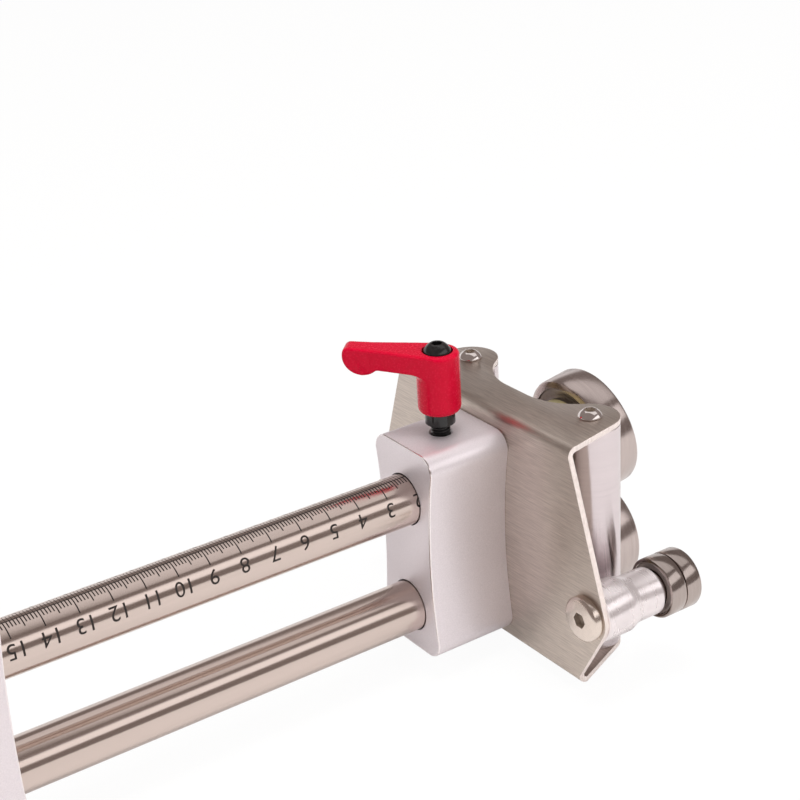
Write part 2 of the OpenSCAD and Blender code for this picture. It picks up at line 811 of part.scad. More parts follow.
// Side view of the handle arm before it is tilted: flat top at 0, tip rounded below it, eased neck
module handle_side() {
  tip_r = tip_d / 2;
  tip_at = [lever_reach - tip_r, -tip_below];
  ease_r = 3;
  ease_at = [
    tip_at[0] - sqrt(pow(tip_r + ease_r, 2) - pow(tip_at[1] + handle_t + ease_r, 2)),
    -handle_t - ease_r
  ];
  ease_touch = tip_at + (ease_at - tip_at) * tip_r / (tip_r + ease_r);
  translate([0, -handle_t]) square([tip_at[0], handle_t]);
  difference() {
    translate(tip_at) circle(r = tip_r);
    translate([0, 0]) square([lever_reach + past, tip_r]);
  }
  difference() {
    polygon([[ease_at[0], -handle_t], [tip_at[0], -handle_t], ease_touch, [ease_at[0], ease_touch[1]]]);
    translate(ease_at) circle(r = ease_r);
  }
}

// Plan of the handle arm: as wide as the hub at its root, narrow and round at the tip
handle_taper = atan((hub_d - handle_w) / 2 / (lever_reach - tip_d / 2));
module handle_plan() {
  end_r = handle_w * 0.6;
  end_half = hub_d / 2 - lever_reach * tan(handle_taper);
  intersection() {
    polygon([[0, -hub_d / 2], [lever_reach, -end_half], [lever_reach, end_half], [0, hub_d / 2]]);
    union() {
      translate([0, -hub_d]) square([lever_reach - end_r, 2 * hub_d]);
      translate([lever_reach + run_gap - end_r, 0]) circle(r = end_r);
    }
  }
}

// Hollow corner between the hub and the underside of the arm
module handle_corner() {
  corner_r = 2.5;
  corner_in = 0.93 * corner_r;
  under = hub_h - handle_t + hub_d / 2 * tan(handle_rise);
  rotate_extrude() difference() {
    translate([0, under - corner_in]) square([hub_d / 2 + corner_in, corner_in + corner_r / 4]);
    translate([hub_d / 2 + corner_in, under - corner_in]) circle(r = corner_r);
  }
}

// Prism that bevels an edge of the handle's top
module top_bevel(side) {
  leg = handle_w / 6;
  translate([0, side * hub_d / 2, hub_h]) rotate([0, -handle_rise, -side * handle_taper]) rotate([45, 0, 0])
    translate([-leg, -leg / sqrt(2), -leg / sqrt(2)]) cube([lever_reach + 2 * leg, leg * sqrt(2), leg * sqrt(2)]);
}

module lever_handle() {
  color(lever_red) at_lever() difference() {
    union() {
      chamfered_bar(hub_d, hub_h, hub_chamfer);
      difference() {
        intersection() {
          union() {
            translate([0, hub_d / 2, hub_h]) rotate([0, -handle_rise, 0]) rotate([90, 0, 0])
              linear_extrude(hub_d) handle_side();
            handle_corner();
          }
          linear_extrude(hub_h + tip_d) handle_plan();
        }
        for (side = [-1, 1]) top_bevel(side);
      }
    }
    translate([0, 0, shoulder_h]) cylinder(d = recess_d, h = hub_h);
    cylinder(d = lever_screw_d + screw_room, h = hub_h);
    translate([0, 0, tooth_len]) cylinder(d = 2 * (tooth_r + run_gap), h = socket_h - tooth_len);
    translate([0, 0, -past]) linear_extrude(tooth_len + 2 * past) serration_outline(tooth_r + tooth_gap);
  }
}

// Draws one piece, or all of them
place() scale_rod();
place() plain_rod();
place() stop_block();
place() stop_set_screws();
place() head_block();
place() head_plate();
place() plate_screws();
place() left_column();
place() right_column();
place() column_top_screws();
place() column_bottom_screws();
place() upper_axle();
place() upper_washer();
place() upper_end_screw();
place() lower_axle();
place() lower_washer();
place() lower_end_screw();
place() left_arm();
place() right_arm();
place() arm_screws();
place() arm_washers();
place() arm_end_screws();
place() upper_outer_ring();
place() upper_inner_ring();
place() upper_shields();
place() upper_cage();
place() upper_balls();
place() lower_outer_ring();
place() lower_inner_ring();
place() lower_shields();
place() lower_cage();
place() lower_balls();
place() small_outer_ring(-1, 0);  // right_near_outer_ring
place() small_inner_ring(-1, 0);  // right_near_inner_ring
place() small_shields(-1, 0);  // right_near_shields
place() small_cage(-1, 0);  // right_near_cage
place() small_ball_set(-1, 0);  // right_near_balls
place() small_outer_ring(-1, 1);  // right_far_outer_ring
place() small_inner_ring(-1, 1);  // right_far_inner_ring
place() small_shields(-1, 1);  // right_far_shields
place() small_cage(-1, 1);  // right_far_cage
place() small_ball_set(-1, 1);  // right_far_balls
place() small_outer_ring(1, 0);  // left_near_outer_ring
place() small_inner_ring(1, 0);  // left_near_inner_ring
place() small_shields(1, 0);  // left_near_shields
place() small_cage(1, 0);  // left_near_cage
place() small_ball_set(1, 0);  // left_near_balls
place() small_outer_ring(1, 1);  // left_far_outer_ring
place() small_inner_ring(1, 1);  // left_far_inner_ring
place() small_shields(1, 1);  // left_far_shields
place() small_cage(1, 1);  // left_far_cage
place() small_ball_set(1, 1);  // left_far_balls
place() clamp_pad();
place() lever_insert();
place() lever_screw();
place() lever_spring();
place() lever_handle();
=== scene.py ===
# %% [markdown]
# # Dressing a seam bending tool
# The CAD part brings exact sizes and joints, and this lesson gives it the look of the real tool. Each
# visible piece is modelled again with softer edges and finer detail, then rides on its CAD body.

import json
import math

import bmesh
import bpy
from mathutils import Matrix, Vector


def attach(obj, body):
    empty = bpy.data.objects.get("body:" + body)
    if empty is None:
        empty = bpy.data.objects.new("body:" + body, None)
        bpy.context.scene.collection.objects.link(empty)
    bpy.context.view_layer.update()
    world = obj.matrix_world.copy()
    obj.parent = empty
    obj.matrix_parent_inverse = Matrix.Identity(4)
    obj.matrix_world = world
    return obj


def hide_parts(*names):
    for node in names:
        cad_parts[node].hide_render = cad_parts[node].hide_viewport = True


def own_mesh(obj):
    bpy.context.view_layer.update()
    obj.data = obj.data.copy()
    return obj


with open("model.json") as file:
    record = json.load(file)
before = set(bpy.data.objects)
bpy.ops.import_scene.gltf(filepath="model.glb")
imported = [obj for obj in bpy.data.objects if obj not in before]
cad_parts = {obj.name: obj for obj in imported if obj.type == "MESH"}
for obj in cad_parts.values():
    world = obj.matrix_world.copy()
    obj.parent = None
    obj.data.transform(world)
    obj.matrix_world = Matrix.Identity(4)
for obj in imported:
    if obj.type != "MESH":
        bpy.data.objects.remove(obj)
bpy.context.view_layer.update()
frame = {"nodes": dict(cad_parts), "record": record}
print("CAD pieces:", len(frame["nodes"]))

# %% [markdown]
# The tool's own drawing counts in millimetres from the head end of the rods, midway between them.
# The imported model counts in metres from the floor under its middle.
# One matrix turns the first into the second, so every size below can be written as on the drawing.

# %% From the drawing to the model
DRAWING_ORIGIN = Vector((67.8, 0.0, 38.7))
TO_MODEL = Matrix.Scale(0.001, 4) @ Matrix.Translation(DRAWING_ORIGIN)
ALONG_X = Matrix.Rotation(math.radians(90), 4, "Y")
CREASE = math.radians(32)


def to(x, y, z):
    """A move to a place on the drawing."""
    return Matrix.Translation((x, y, z))


def finish_piece(bm, name, body, finish, nodes=()):
    bmesh.ops.remove_doubles(bm, verts=bm.verts, dist=1e-4)
    bmesh.ops.recalc_face_normals(bm, faces=bm.faces)
    bmesh.ops.transform(bm, matrix=TO_MODEL, verts=bm.verts)
    mesh = bpy.data.meshes.new(name)
    bm.to_mesh(mesh)
    bm.free()
    mesh.shade_smooth()
    mesh.set_sharp_from_angle(angle=CREASE)
    for material in finish if isinstance(finish, tuple) else (finish,):
        mesh.materials.append(material)
    piece = bpy.data.objects.new(name, mesh)
    bpy.context.collection.objects.link(piece)
    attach(piece, body)
    if nodes:
        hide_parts(*nodes)
    print(name, len(mesh.polygons), "faces")
    return piece


# %% [markdown]
# Most of the tool is turned on a lathe: rods, columns, arms, bearings and screws.
# A cylinder primitive would give no control over its chamfers, so a half outline is spun instead.
# Spin with use_merge closes the seam, and merging the doubles closes the poles on the axis.

# %% A lathe for round pieces


def turned(outline, steps=96, closed=False):
    """Spins a (radius, height) outline about Z. A closed outline gives a ring."""
    bm = bmesh.new()
    verts = [bm.verts.new((radius, 0.0, height)) for radius, height in outline]
    pairs = list(zip(verts, verts[1:]))
    if closed:
        pairs.append((verts[-1], verts[0]))
    edges = [bm.edges.new(pair) for pair in pairs]
    bmesh.ops.spin(
        bm, geom=verts + edges, cent=(0, 0, 0), axis=(0, 0, 1), dvec=(0, 0, 0),
        angle=math.tau, steps=steps, use_merge=True, use_duplicate=False,
    )
    bmesh.ops.remove_doubles(bm, verts=bm.verts, dist=1e-5)
    bmesh.ops.recalc_face_normals(bm, faces=bm.faces)
    return bm


def moved(bm, matrix):
    bmesh.ops.transform(bm, matrix=matrix, verts=bm.verts)
    return bm


def joined(*parts):
    """Puts several shells in one mesh."""
    whole = bmesh.new()
    for bm in parts:
        mesh = bpy.data.meshes.new("shell")
        bm.to_mesh(mesh)
        bm.free()
        whole.from_mesh(mesh)
        bpy.data.meshes.remove(mesh)
    return whole


def mirrored(bm):
    """Adds the piece's twin on the other side of the tool."""
    twin = bm.copy()
    bmesh.ops.scale(twin, vec=(1, -1, 1), verts=twin.verts)
    bmesh.ops.reverse_faces(twin, faces=twin.faces)
    return joined(bm, twin)


# %% [markdown]
# Some shapes are easiest to cut, like a socket in a screw head or a bore in a block.
# A Boolean modifier does that. Its result is read back from the dependency graph,
# so the finished piece carries a plain mesh and no helper objects stay behind.

# %% Cutting and joining solids


def combined(bm, tool, operation="DIFFERENCE", remesh=0.0):
    """Cuts or unites two solids, and can remesh the result into one even skin."""
    objects = []
    for part in (bm, tool):
        mesh = bpy.data.meshes.new("work")
        part.to_mesh(mesh)
        part.free()
        objects.append(bpy.data.objects.new("work", mesh))
        bpy.context.collection.objects.link(objects[-1])
    body, cutter = objects
    change = body.modifiers.new("cut", "BOOLEAN")
    change.object = cutter
    change.operation = operation
    change.solver = "EXACT"
    if remesh:
        skin = body.modifiers.new("skin", "REMESH")
        skin.mode = "VOXEL"
        skin.voxel_size = remesh
    graph = bpy.context.evaluated_depsgraph_get()
    result = bmesh.new()
    result.from_mesh(body.evaluated_get(graph).to_mesh())
    for part in objects:
        mesh = part.data
        bpy.data.objects.remove(part)
        bpy.data.meshes.remove(mesh)
    return result


# %% [markdown]
# ## Finishes
# The finishes are node materials on Object coordinates, so they need no unwrapping.
# Every metal starts from the same recipe: a Principled shader with a colour and a roughness,
# both varied by a noise that is stretched along the direction of the tool marks.
# Stretching needs only a Mapping node: a small scale along one axis draws the grain out that way.

# %% A recipe for metals


def linear(red, green, blue):
    """Turns a colour as seen on a screen into the linear values that a shader takes."""
    shades = [v / 12.92 if v <= 0.04045 else ((v + 0.055) / 1.055) ** 2.4 for v in (red, green, blue)]
    return (*shades, 1.0)


def link(tree, start, end):
    tree.links.new(start, end)


def grain(tree, stretch, detail=4.0, rough=0.6):
    """A noise in the piece's own space, drawn out along the axes with a small stretch."""
    place = tree.nodes.new("ShaderNodeTexCoord")
    mapping = tree.nodes.new("ShaderNodeMapping")
    mapping.inputs["Scale"].default_value = stretch
    noise = tree.nodes.new("ShaderNodeTexNoise")
    noise.inputs["Scale"].default_value = 1.0
    noise.inputs["Detail"].default_value = detail
    noise.inputs["Roughness"].default_value = rough
    link(tree, place.outputs["Object"], mapping.inputs["Vector"])
    link(tree, mapping.outputs["Vector"], noise.inputs["Vector"])
    return noise.outputs["Fac"]


def ramp(tree, value, low, high, at=(0.3, 0.7)):
    """Maps a noise to a range of colours."""
    node = tree.nodes.new("ShaderNodeValToRGB")
    node.color_ramp.elements[0].position, node.color_ramp.elements[1].position = at
    node.color_ramp.elements[0].color = low
    node.color_ramp.elements[1].color = high
    link(tree, value, node.inputs["Fac"])
    return node.outputs["Color"]


def spread(tree, value, low, high):
    """Maps a noise to a range of numbers."""
    node = tree.nodes.new("ShaderNodeMapRange")
    node.inputs["From Min"].default_value = 0.25
    node.inputs["From Max"].default_value = 0.75
    node.inputs["To Min"].default_value = low
    node.inputs["To Max"].default_value = high
    link(tree, value, node.inputs["Value"])
    return node.outputs["Result"]


def bump(tree, value, strength, depth):
    node = tree.nodes.new("ShaderNodeBump")
    node.inputs["Strength"].default_value = strength
    node.inputs["Distance"].default_value = depth
    link(tree, value, node.inputs["Height"])
    return node.outputs["Normal"]


def metal(
    name, dark, light, rough, stretch, strength=0.1, depth=2e-5, metallic=1.0, smear=0.0, axis="", turn=0.0,
):
    """A bare metal whose grain follows the stretch. Smear draws reflections out across the tool marks."""
    material = bpy.data.materials.new(name)
    material.use_nodes = True
    tree = material.node_tree
    shader = tree.nodes["Principled BSDF"]
    shader.inputs["Metallic"].default_value = metallic
    shader.inputs["Anisotropic"].default_value = smear
    shader.inputs["Anisotropic Rotation"].default_value = turn
    if axis:
        tangent = tree.nodes.new("ShaderNodeTangent")
        tangent.direction_type, tangent.axis = "RADIAL", axis
        link(tree, tangent.outputs["Tangent"], shader.inputs["Tangent"])
    marks = grain(tree, stretch)
    link(tree, ramp(tree, marks, linear(*dark), linear(*light)), shader.inputs["Base Color"])
    link(tree, spread(tree, marks, *rough), shader.inputs["Roughness"])
    link(tree, bump(tree, marks, strength, depth), shader.inputs["Normal"])
    return material


# %% [markdown]
# Now the tool's own metals. The rods are drawn and polished along their length, the plate is brushed
# from side to side, the columns and arms show lathe marks, and the blocks are blasted to an even satin.
# A large stretch number means fine marks across that axis, and a small one means long marks along it.
# Fine parallel marks smear a reflection across them, which the shader's anisotropy does:
# the plate is smeared upright, the columns along their length and the arms along theirs.

# %% The tool's metals
ROD_STEEL = metal(
    "rod_steel", (0.82, 0.76, 0.73), (0.85, 0.79, 0.76), (0.17, 0.22), (8, 420, 420), 0.03,
    smear=0.75, axis="X", turn=0.25,
)
SATIN = metal(
    "satin_aluminium", (0.885, 0.855, 0.87), (0.935, 0.905, 0.92), (0.38, 0.46), (2800, 2800, 2800), 0.4,
    metallic=0.6,
)
BRIGHT_CUT = metal(
    "bright_cut_aluminium", (0.95, 0.92, 0.925), (0.98, 0.95, 0.955), (0.18, 0.26), (1500, 1500, 1500), 0.05,
)
BRUSHED = metal(
    "brushed_plate", (0.745, 0.70, 0.665), (0.885, 0.84, 0.80), (0.35, 0.42), (3200, 140, 3200), 0.12,
    smear=0.8, axis="Y",
)
# Cut edges: unbrushed, and paler than the sheet, which is partly a painted highlight along them.
CUT_EDGE_AND_HIGHLIGHT = metal(
    "cut_sheet_edge", (0.88, 0.83, 0.81), (0.97, 0.93, 0.91), (0.36, 0.46), (1500, 1500, 400), 0.10,
    metallic=0.35,
)
COLUMN_STEEL = metal(
    "column_steel", (0.86, 0.82, 0.83), (0.90, 0.86, 0.87), (0.20, 0.26), (20, 20, 1500), 0.03,
    smear=0.8, axis="Z", turn=0.25,
)
TURNED = metal(
    "turned_aluminium", (0.91, 0.88, 0.885), (0.95, 0.92, 0.925), (0.25, 0.31), (260, 60, 60), 0.005,
    metallic=0.72, smear=0.6, axis="X", turn=0.25,
)
BEARING = metal(
    "bearing_steel", (0.75, 0.70, 0.685), (0.80, 0.75, 0.735), (0.20, 0.26), (900, 40, 40), 0.02,
    smear=0.6, axis="X", turn=0.25,
)
# Small bearings: a smoother grind than the rollers, and a darker colour of the same steel, which is painted
# shade.
SMALL_BEARING_SHADED = metal(
    "small_bearing_steel", (0.68, 0.635, 0.615), (0.73, 0.685, 0.665), (0.14, 0.20), (900, 40, 40), 0.02,
)
SHIELD = metal(
    "shield_steel", (0.64, 0.60, 0.58), (0.70, 0.66, 0.64), (0.30, 0.38), (700, 700, 700), 0.05, metallic=0.8,
)
SCREW = metal("screw_steel", (0.90, 0.87, 0.86), (0.94, 0.91, 0.90), (0.08, 0.13), (1500, 1500, 1500), 0.04)
NICKEL = metal("nickel_screw", (0.89, 0.84, 0.80), (0.92, 0.87, 0.83), (0.20, 0.26), (900, 900, 900), 0.03)
# Painted shade: a darker, duller steel for the faces inside the screw sockets.
PAINTED_SOCKET_SHADE = metal(
    "socket_shade", (0.60, 0.55, 0.50), (0.70, 0.64, 0.59), (0.30, 0.40), (900, 900, 900), 0.04, metallic=0.4,
)
ZINC = metal(
    "yellow_zinc", (0.83, 0.785, 0.59), (0.87, 0.825, 0.64), (0.28, 0.36), (900, 60, 60), 0.04, metallic=0.6,
)
BRASS = metal("pad_brass", (0.78, 0.64, 0.34), (0.86, 0.73, 0.44), (0.22, 0.34), (900, 900, 900), 0.06)
print("metals:", len(bpy.data.materials))

# %% [markdown]
# The lever is powder coated and the small steel parts are blackened.
# Both are a coat over metal, so they are not metallic: a base colour, a satin roughness
# and a fine bump for the orange-peel skin of the powder.

# %% Coated finishes


def coat(name, dark, light, rough, size, strength, depth, sheen=0.5):
    """A painted or blackened skin with the same fine bump in all directions."""
    material = bpy.data.materials.new(name)
    material.use_nodes = True
    tree = material.node_tree
    shader = tree.nodes["Principled BSDF"]
    shader.inputs["Specular IOR Level"].default_value = sheen
    skin = grain(tree, (size, size, size), 3.0, 0.5)
    link(tree, ramp(tree, skin, linear(*dark), linear(*light)), shader.inputs["Base Color"])
    link(tree, spread(tree, skin, *rough), shader.inputs["Roughness"])
    link(tree, bump(tree, skin, strength, depth), shader.inputs["Normal"])
    return material


RED = coat("lever_red", (0.745, 0.0, 0.16), (0.785, 0.01, 0.185), (0.22, 0.30), 1600, 0.06, 4e-5, 0.16)
BLACK = coat("black_steel", (0.07, 0.07, 0.07), (0.13, 0.13, 0.13), (0.10, 0.18), 1200, 0.06, 2e-5)
# Painted shade: a darker, duller black for the faces inside the top screw's socket.
PAINTED_SHADE_BLACK_SOCKET = coat(
    "black_socket", (0.04, 0.04, 0.04), (0.08, 0.08, 0.08), (0.45, 0.55), 1200, 0.10, 2e-5, 0.2,
)
INK = coat("scale_ink", (0.11, 0.09, 0.08), (0.16, 0.13, 0.12), (0.55, 0.7), 1500, 0.05, 1e-5)
print("finishes:", len(bpy.data.materials))

# %% [markdown]
# ## Guide rods
# The rods are ground bars with a chamfer at each end. They lie along X, so the spun bar is laid down.
# The upper rod carries the scale, and the lower one is plain.

# %% The two rods
ROD_R, ROD_LENGTH, ROD_CHAMFER = 8.0, 200.0, 1.0
ROD_Z = 18.5


def chamfered_bar(radius, length, chamfer):
    """Half outline of a bar with a chamfer at each end."""
    edge = radius - chamfer
    return [(0, 0), (edge, 0), (radius, chamfer), (radius, length - chamfer), (edge, length), (0, length)]


def rod(z):
    bar = turned(chamfered_bar(ROD_R, ROD_LENGTH, ROD_CHAMFER), 128)
    return moved(bar, to(-ROD_LENGTH, 0, z) @ ALONG_X)


finish_piece(rod(ROD_Z), "upper_rod", "rods", ROD_STEEL, ["scale_rod"])
finish_piece(rod(-ROD_Z), "lower_rod", "rods", ROD_STEEL, ["plain_rod"])

# %% [markdown]
# The scale is engraved and filled with dark paint. Each tick is a short edge on the rod,
# spun a little way round it, so it lies on the curve as an engraved line does.
# All ticks of one length are spun together, and they stand a hair above the steel to stay visible.
# The far row is cut finer than the front one, which carries the numerals.

# %% Scale ticks
INK_R, INK_T = ROD_R + 0.02, 0.03
LINE_W, FAR_LINE_W = 0.36, 0.16
SCALE_TOP = math.radians(4)
SHORT, MEDIUM, LONG = (math.radians(a) for a in (19, 27, 42))


def ticks(places, start, sweep, width=LINE_W):
    """Ticks at the given readings, from the angle start and round by sweep towards the front."""
    bm = bmesh.new()
    foot = Matrix.Rotation(start, 4, "X") @ Vector((0, 0, INK_R))
    edges = []
    for reading in places:
        ends = [bm.verts.new((side * width / 2 - reading, foot.y, foot.z)) for side in (-1, 1)]
        edges.append(bm.edges.new(ends))
    bmesh.ops.spin(
        bm, geom=bm.verts[:] + edges, cent=(0, 0, 0), axis=(1, 0, 0), dvec=(0, 0, 0),
        angle=sweep, steps=8, use_merge=False, use_duplicate=False,
    )
    return bm


readings = range(1, int(ROD_LENGTH))
tens = [r for r in readings if r % 10 == 0]
fives = [r for r in readings if r % 5 == 0 and r % 10]
units = [r for r in readings if r % 5]
marks = joined(
    ticks(units, SCALE_TOP, SHORT), ticks(fives, SCALE_TOP, MEDIUM), ticks(tens, SCALE_TOP, LONG),
    ticks(units, SCALE_TOP, -SHORT, FAR_LINE_W), ticks(fives, SCALE_TOP, -MEDIUM, FAR_LINE_W),
    ticks(tens, SCALE_TOP, -LONG, FAR_LINE_W),
)
axis_line = bmesh.new()
line_foot = Matrix.Rotation(SCALE_TOP, 4, "X") @ Vector((0, 0, INK_R))
line_ends = [axis_line.verts.new((x, line_foot.y, line_foot.z)) for x in (1 - ROD_LENGTH, -1)]
bmesh.ops.spin(
    axis_line, geom=line_ends + [axis_line.edges.new(line_ends)], cent=(0, 0, 0), axis=(1, 0, 0),
    dvec=(0, 0, 0), angle=LINE_W / INK_R, steps=2, use_merge=False, use_duplicate=False,
)
print("ticks in each row:", len(readings))

# %% [markdown]
# The numerals come from Blender's own font. A text object is turned into a mesh, sliced into thin bands
# so that it can bend, and then rolled round the rod: its height becomes an angle.
# They read from the far side of the tool, so in the photograph they stand on their heads.
# Last, the whole scale gets the small thickness of a coat of paint.

# %% Scale numerals
NUMERAL_H, FONT_CAP, NUMERAL_BANDS = 4.6, 0.72, 10
NUMERAL_START = SCALE_TOP + LONG + math.radians(9.5)
PAIR_SHIFT = 0.7


def sliced(bm, place, normal, **options):
    """Cuts a whole mesh along a plane and returns what lies on the cut."""
    everything = bm.verts[:] + bm.edges[:] + bm.faces[:]
    return bmesh.ops.bisect_plane(bm, geom=everything, plane_co=place, plane_no=normal, **options)["geom_cut"]


def numeral(reading):
    """The number of centimetres at a reading, rolled round the rod."""
    curve = bpy.data.curves.new("numeral", "FONT")
    curve.body = str(reading // 10)
    curve.align_x = "CENTER"
    curve.size = NUMERAL_H / FONT_CAP
    text = bpy.data.objects.new("numeral", curve)
    bpy.context.collection.objects.link(text)
    graph = bpy.context.evaluated_depsgraph_get()
    bm = bmesh.new()
    bm.from_mesh(text.evaluated_get(graph).to_mesh())
    bpy.data.objects.remove(text)
    bpy.data.curves.remove(curve)
    shift = PAIR_SHIFT if reading >= 100 else 0.0
    for i in range(1, NUMERAL_BANDS):
        sliced(bm, (0, NUMERAL_H * i / NUMERAL_BANDS, 0), (0, 1, 0))
    for vert in bm.verts:
        angle = NUMERAL_START + vert.co.y / INK_R
        x = shift - reading - vert.co.x
        vert.co = (x, -INK_R * math.sin(angle), INK_R * math.cos(angle))
    return bm


scale = joined(marks, axis_line, *[numeral(r) for r in tens])
bmesh.ops.recalc_face_normals(scale, faces=scale.faces)
bmesh.ops.solidify(scale, geom=scale.faces[:], thickness=INK_T)
moved(scale, to(0, 0, ROD_Z))
finish_piece(scale, "rod_scale", "rods", INK)

# %% [markdown]
# ## Blocks
# Both blocks are cut from one aluminium section: a tall block with rounded corners and a drawn-in waist.
# A cube is stretched to size and sliced into bands, and the bands are pushed in along a shallow curve.
# Bevels then round the long corners and break the sharp end edges, and the rod bores are cut last.
# The broken edges are cut after the blasting, so they get a bright finish of their own.

# %% A waisted block
BLOCK_DEPTH, BLOCK_W, BLOCK_H, BLOCK_MID = 29.0, 29.0, 69.0, 2.0
BLOCK_WAIST, BLOCK_CORNER, BLOCK_EDGE, BLOCK_BANDS = 2.5, 5.5, 0.45, 24
BORE_R, HEAD_BORE = 8.35, 20.3
HEAD_BACK, STOP_BACK = -20.0, -184.5
SHARP = math.radians(60)


def plain_bar(radius, low, high):
    """Half outline of a bar or a drill from one height to another."""
    return [(0, low), (radius, low), (radius, high), (0, high)]


def sharp(edge):
    """True for an edge where two faces meet at a steep angle."""
    return len(edge.link_faces) == 2 and edge.calc_face_angle() > SHARP


def bevel(bm, edges, width, segments):
    """Rounds or breaks edges, and returns the new faces along them."""
    return bmesh.ops.bevel(
        bm, geom=edges, offset=width, offset_type="OFFSET", segments=segments, profile=0.5,
        affect="EDGES", clamp_overlap=True, material=-1,
    )["faces"]


def block(back, bore_length):
    """A block whose rear face is at the given X, bored for both rods from there."""
    bm = bmesh.new()
    bmesh.ops.create_cube(bm, size=1.0)
    bmesh.ops.scale(bm, vec=(BLOCK_DEPTH, BLOCK_W, BLOCK_H), verts=bm.verts)
    corners = [e for e in bm.edges if abs(e.verts[0].co.x - e.verts[1].co.x) > 1]
    bevel(bm, corners, BLOCK_CORNER, 10)
    straight = BLOCK_H / 2 - BLOCK_CORNER
    for i in range(1, BLOCK_BANDS):
        sliced(bm, (0, 0, straight * (2 * i / BLOCK_BANDS - 1)), (0, 0, 1))
    for vert in bm.verts:
        pull = max(0.0, 1 - (vert.co.z / straight) ** 2)
        vert.co.y -= math.copysign(BLOCK_WAIST * pull, vert.co.y)
    rims = [e for e in bm.edges if sharp(e) and abs(e.verts[0].co.x - e.verts[1].co.x) < 0.1]
    for face in bevel(bm, rims, BLOCK_EDGE, 2):
        face.material_index = 1
    moved(bm, to(back + BLOCK_DEPTH / 2, 0, BLOCK_MID))
    for z in (ROD_Z, -ROD_Z):
        drill = turned(plain_bar(BORE_R, -1, bore_length), 96)
        bm = combined(bm, moved(drill, to(back, 0, z) @ ALONG_X))
    return bm


CLAMP_X, BLOCK_TOP, STUD_DEPTH = -5.5, 36.5, 10.6
STUD_HOLE = [(0, -1), (3.1, -1), (3.1, STUD_DEPTH - 0.6), (3.7, STUD_DEPTH), (3.7, 12), (0, 12)]
stud_drill = moved(turned(STUD_HOLE, 48), to(CLAMP_X, 0, BLOCK_TOP - STUD_DEPTH))
head = combined(block(HEAD_BACK, HEAD_BORE), stud_drill)
finish_piece(head, "head_block_dressed", "head", (SATIN, BRIGHT_CUT), ["head_block"])

# %% [markdown]
# The stop block is bored right through, so the drill runs out of its back face as well.
# Its two set screws sit in tapped holes on the side away from the camera.

# %% The stop block
SET_HOLE_R, SET_HOLE_DEPTH = 3.05, 20
TO_SIDE = Matrix.Rotation(math.radians(-90), 4, "X")
stop = block(STOP_BACK, BLOCK_DEPTH + 1)
for z in (ROD_Z, -ROD_Z):
    side_drill = turned(plain_bar(SET_HOLE_R, 0, SET_HOLE_DEPTH), 48)
    stop = combined(stop, moved(side_drill, to(STOP_BACK + BLOCK_DEPTH / 2, 0, z) @ TO_SIDE))
finish_piece(stop, "stop_block_dressed", "stop", (SATIN, BRIGHT_CUT), ["stop_block"])

# %% [markdown]
# ## Head plate
# The plate is one laser-cut sheet with two bends. It is drawn as a flat web, whose top and bottom edges
# are spun a quarter turn for the bends and then carried on as flanges.
# Solidify gives the sheet its thickness, and a tiny bevel makes the cut edges catch the light.

# %% The sheet's outline
PLATE_X, PLATE_T, BEND_R = 9.0, 1.5, 1.5
SHEET_LOOK, CUT_BREAK = 1.85, 0.14
PLATE_UP, PLATE_DOWN = 41.7, -36.5
TOP_HALF, BOTTOM_HALF = 42.3, 46.4
ARM_Y, ARM_Z, LUG_R = 50.3, -10.7, 8.0
COLUMN_X, COLUMN_Y, EAR_R = 28.2, 29.6, 9.0
MID_EDGE, SWEEP_R = 23.8, 20.0
BEND_OUT = BEND_R + PLATE_T


def arc(centre, radius, start, end, count):
    """Points along an arc, from one angle to another in radians."""
    steps = [start + (end - start) * i / count for i in range(count + 1)]
    return [(centre[0] + radius * math.cos(a), centre[1] + radius * math.sin(a)) for a in steps]


def touch_angle(point, centre, radius, turn):
    """Angle on a circle where a line from the point touches it."""
    dx, dy = centre[0] - point[0], centre[1] - point[1]
    distance = math.hypot(dx, dy)
    return math.atan2(-dy, -dx) - turn * math.acos(radius / distance)


def web_side():
    """The right-hand half of the web, from its top edge down to its bottom edge, as (Y, Z)."""
    top, bottom = (TOP_HALF, PLATE_UP - BEND_OUT), (BOTTOM_HALF, PLATE_DOWN + BEND_OUT)
    lug = (ARM_Y, ARM_Z)
    start = touch_angle(top, lug, LUG_R, 1)
    end = touch_angle(bottom, lug, LUG_R, -1)
    return [top, *arc(lug, LUG_R, start, end, 16), bottom]


def flange_side(half):
    """Half of a flange, from its bend round the ear to the middle of its free edge, as (X, Y)."""
    start = (PLATE_X + BEND_OUT, half)
    ear = (COLUMN_X, COLUMN_Y)
    sweep_x = MID_EDGE + SWEEP_R
    reach = EAR_R + SWEEP_R
    sweep = (sweep_x, COLUMN_Y - math.sqrt(reach ** 2 - (sweep_x - COLUMN_X) ** 2))
    inward = math.atan2(sweep[1] - ear[1], sweep[0] - ear[0])
    outward = math.atan2(ear[1] - sweep[1], ear[0] - sweep[0])
    round_ear = arc(ear, EAR_R, touch_angle(start, ear, EAR_R, 1), inward, 20)
    return [start, *round_ear, *arc(sweep, SWEEP_R, outward, math.pi, 16)[1:]]


print("half outlines:", len(web_side()), "points for the web,", len(flange_side(TOP_HALF)), "for a flange")

# %% [markdown]
# The outlines above give one half each, and mirroring them by sign gives the whole sheet.
# The web is one face. Each flange is one face too, joined to the web by the spun bend.

# %% Bend the sheet


def face_of(bm, points):
    return bm.faces.new([bm.verts.new(p) for p in points])


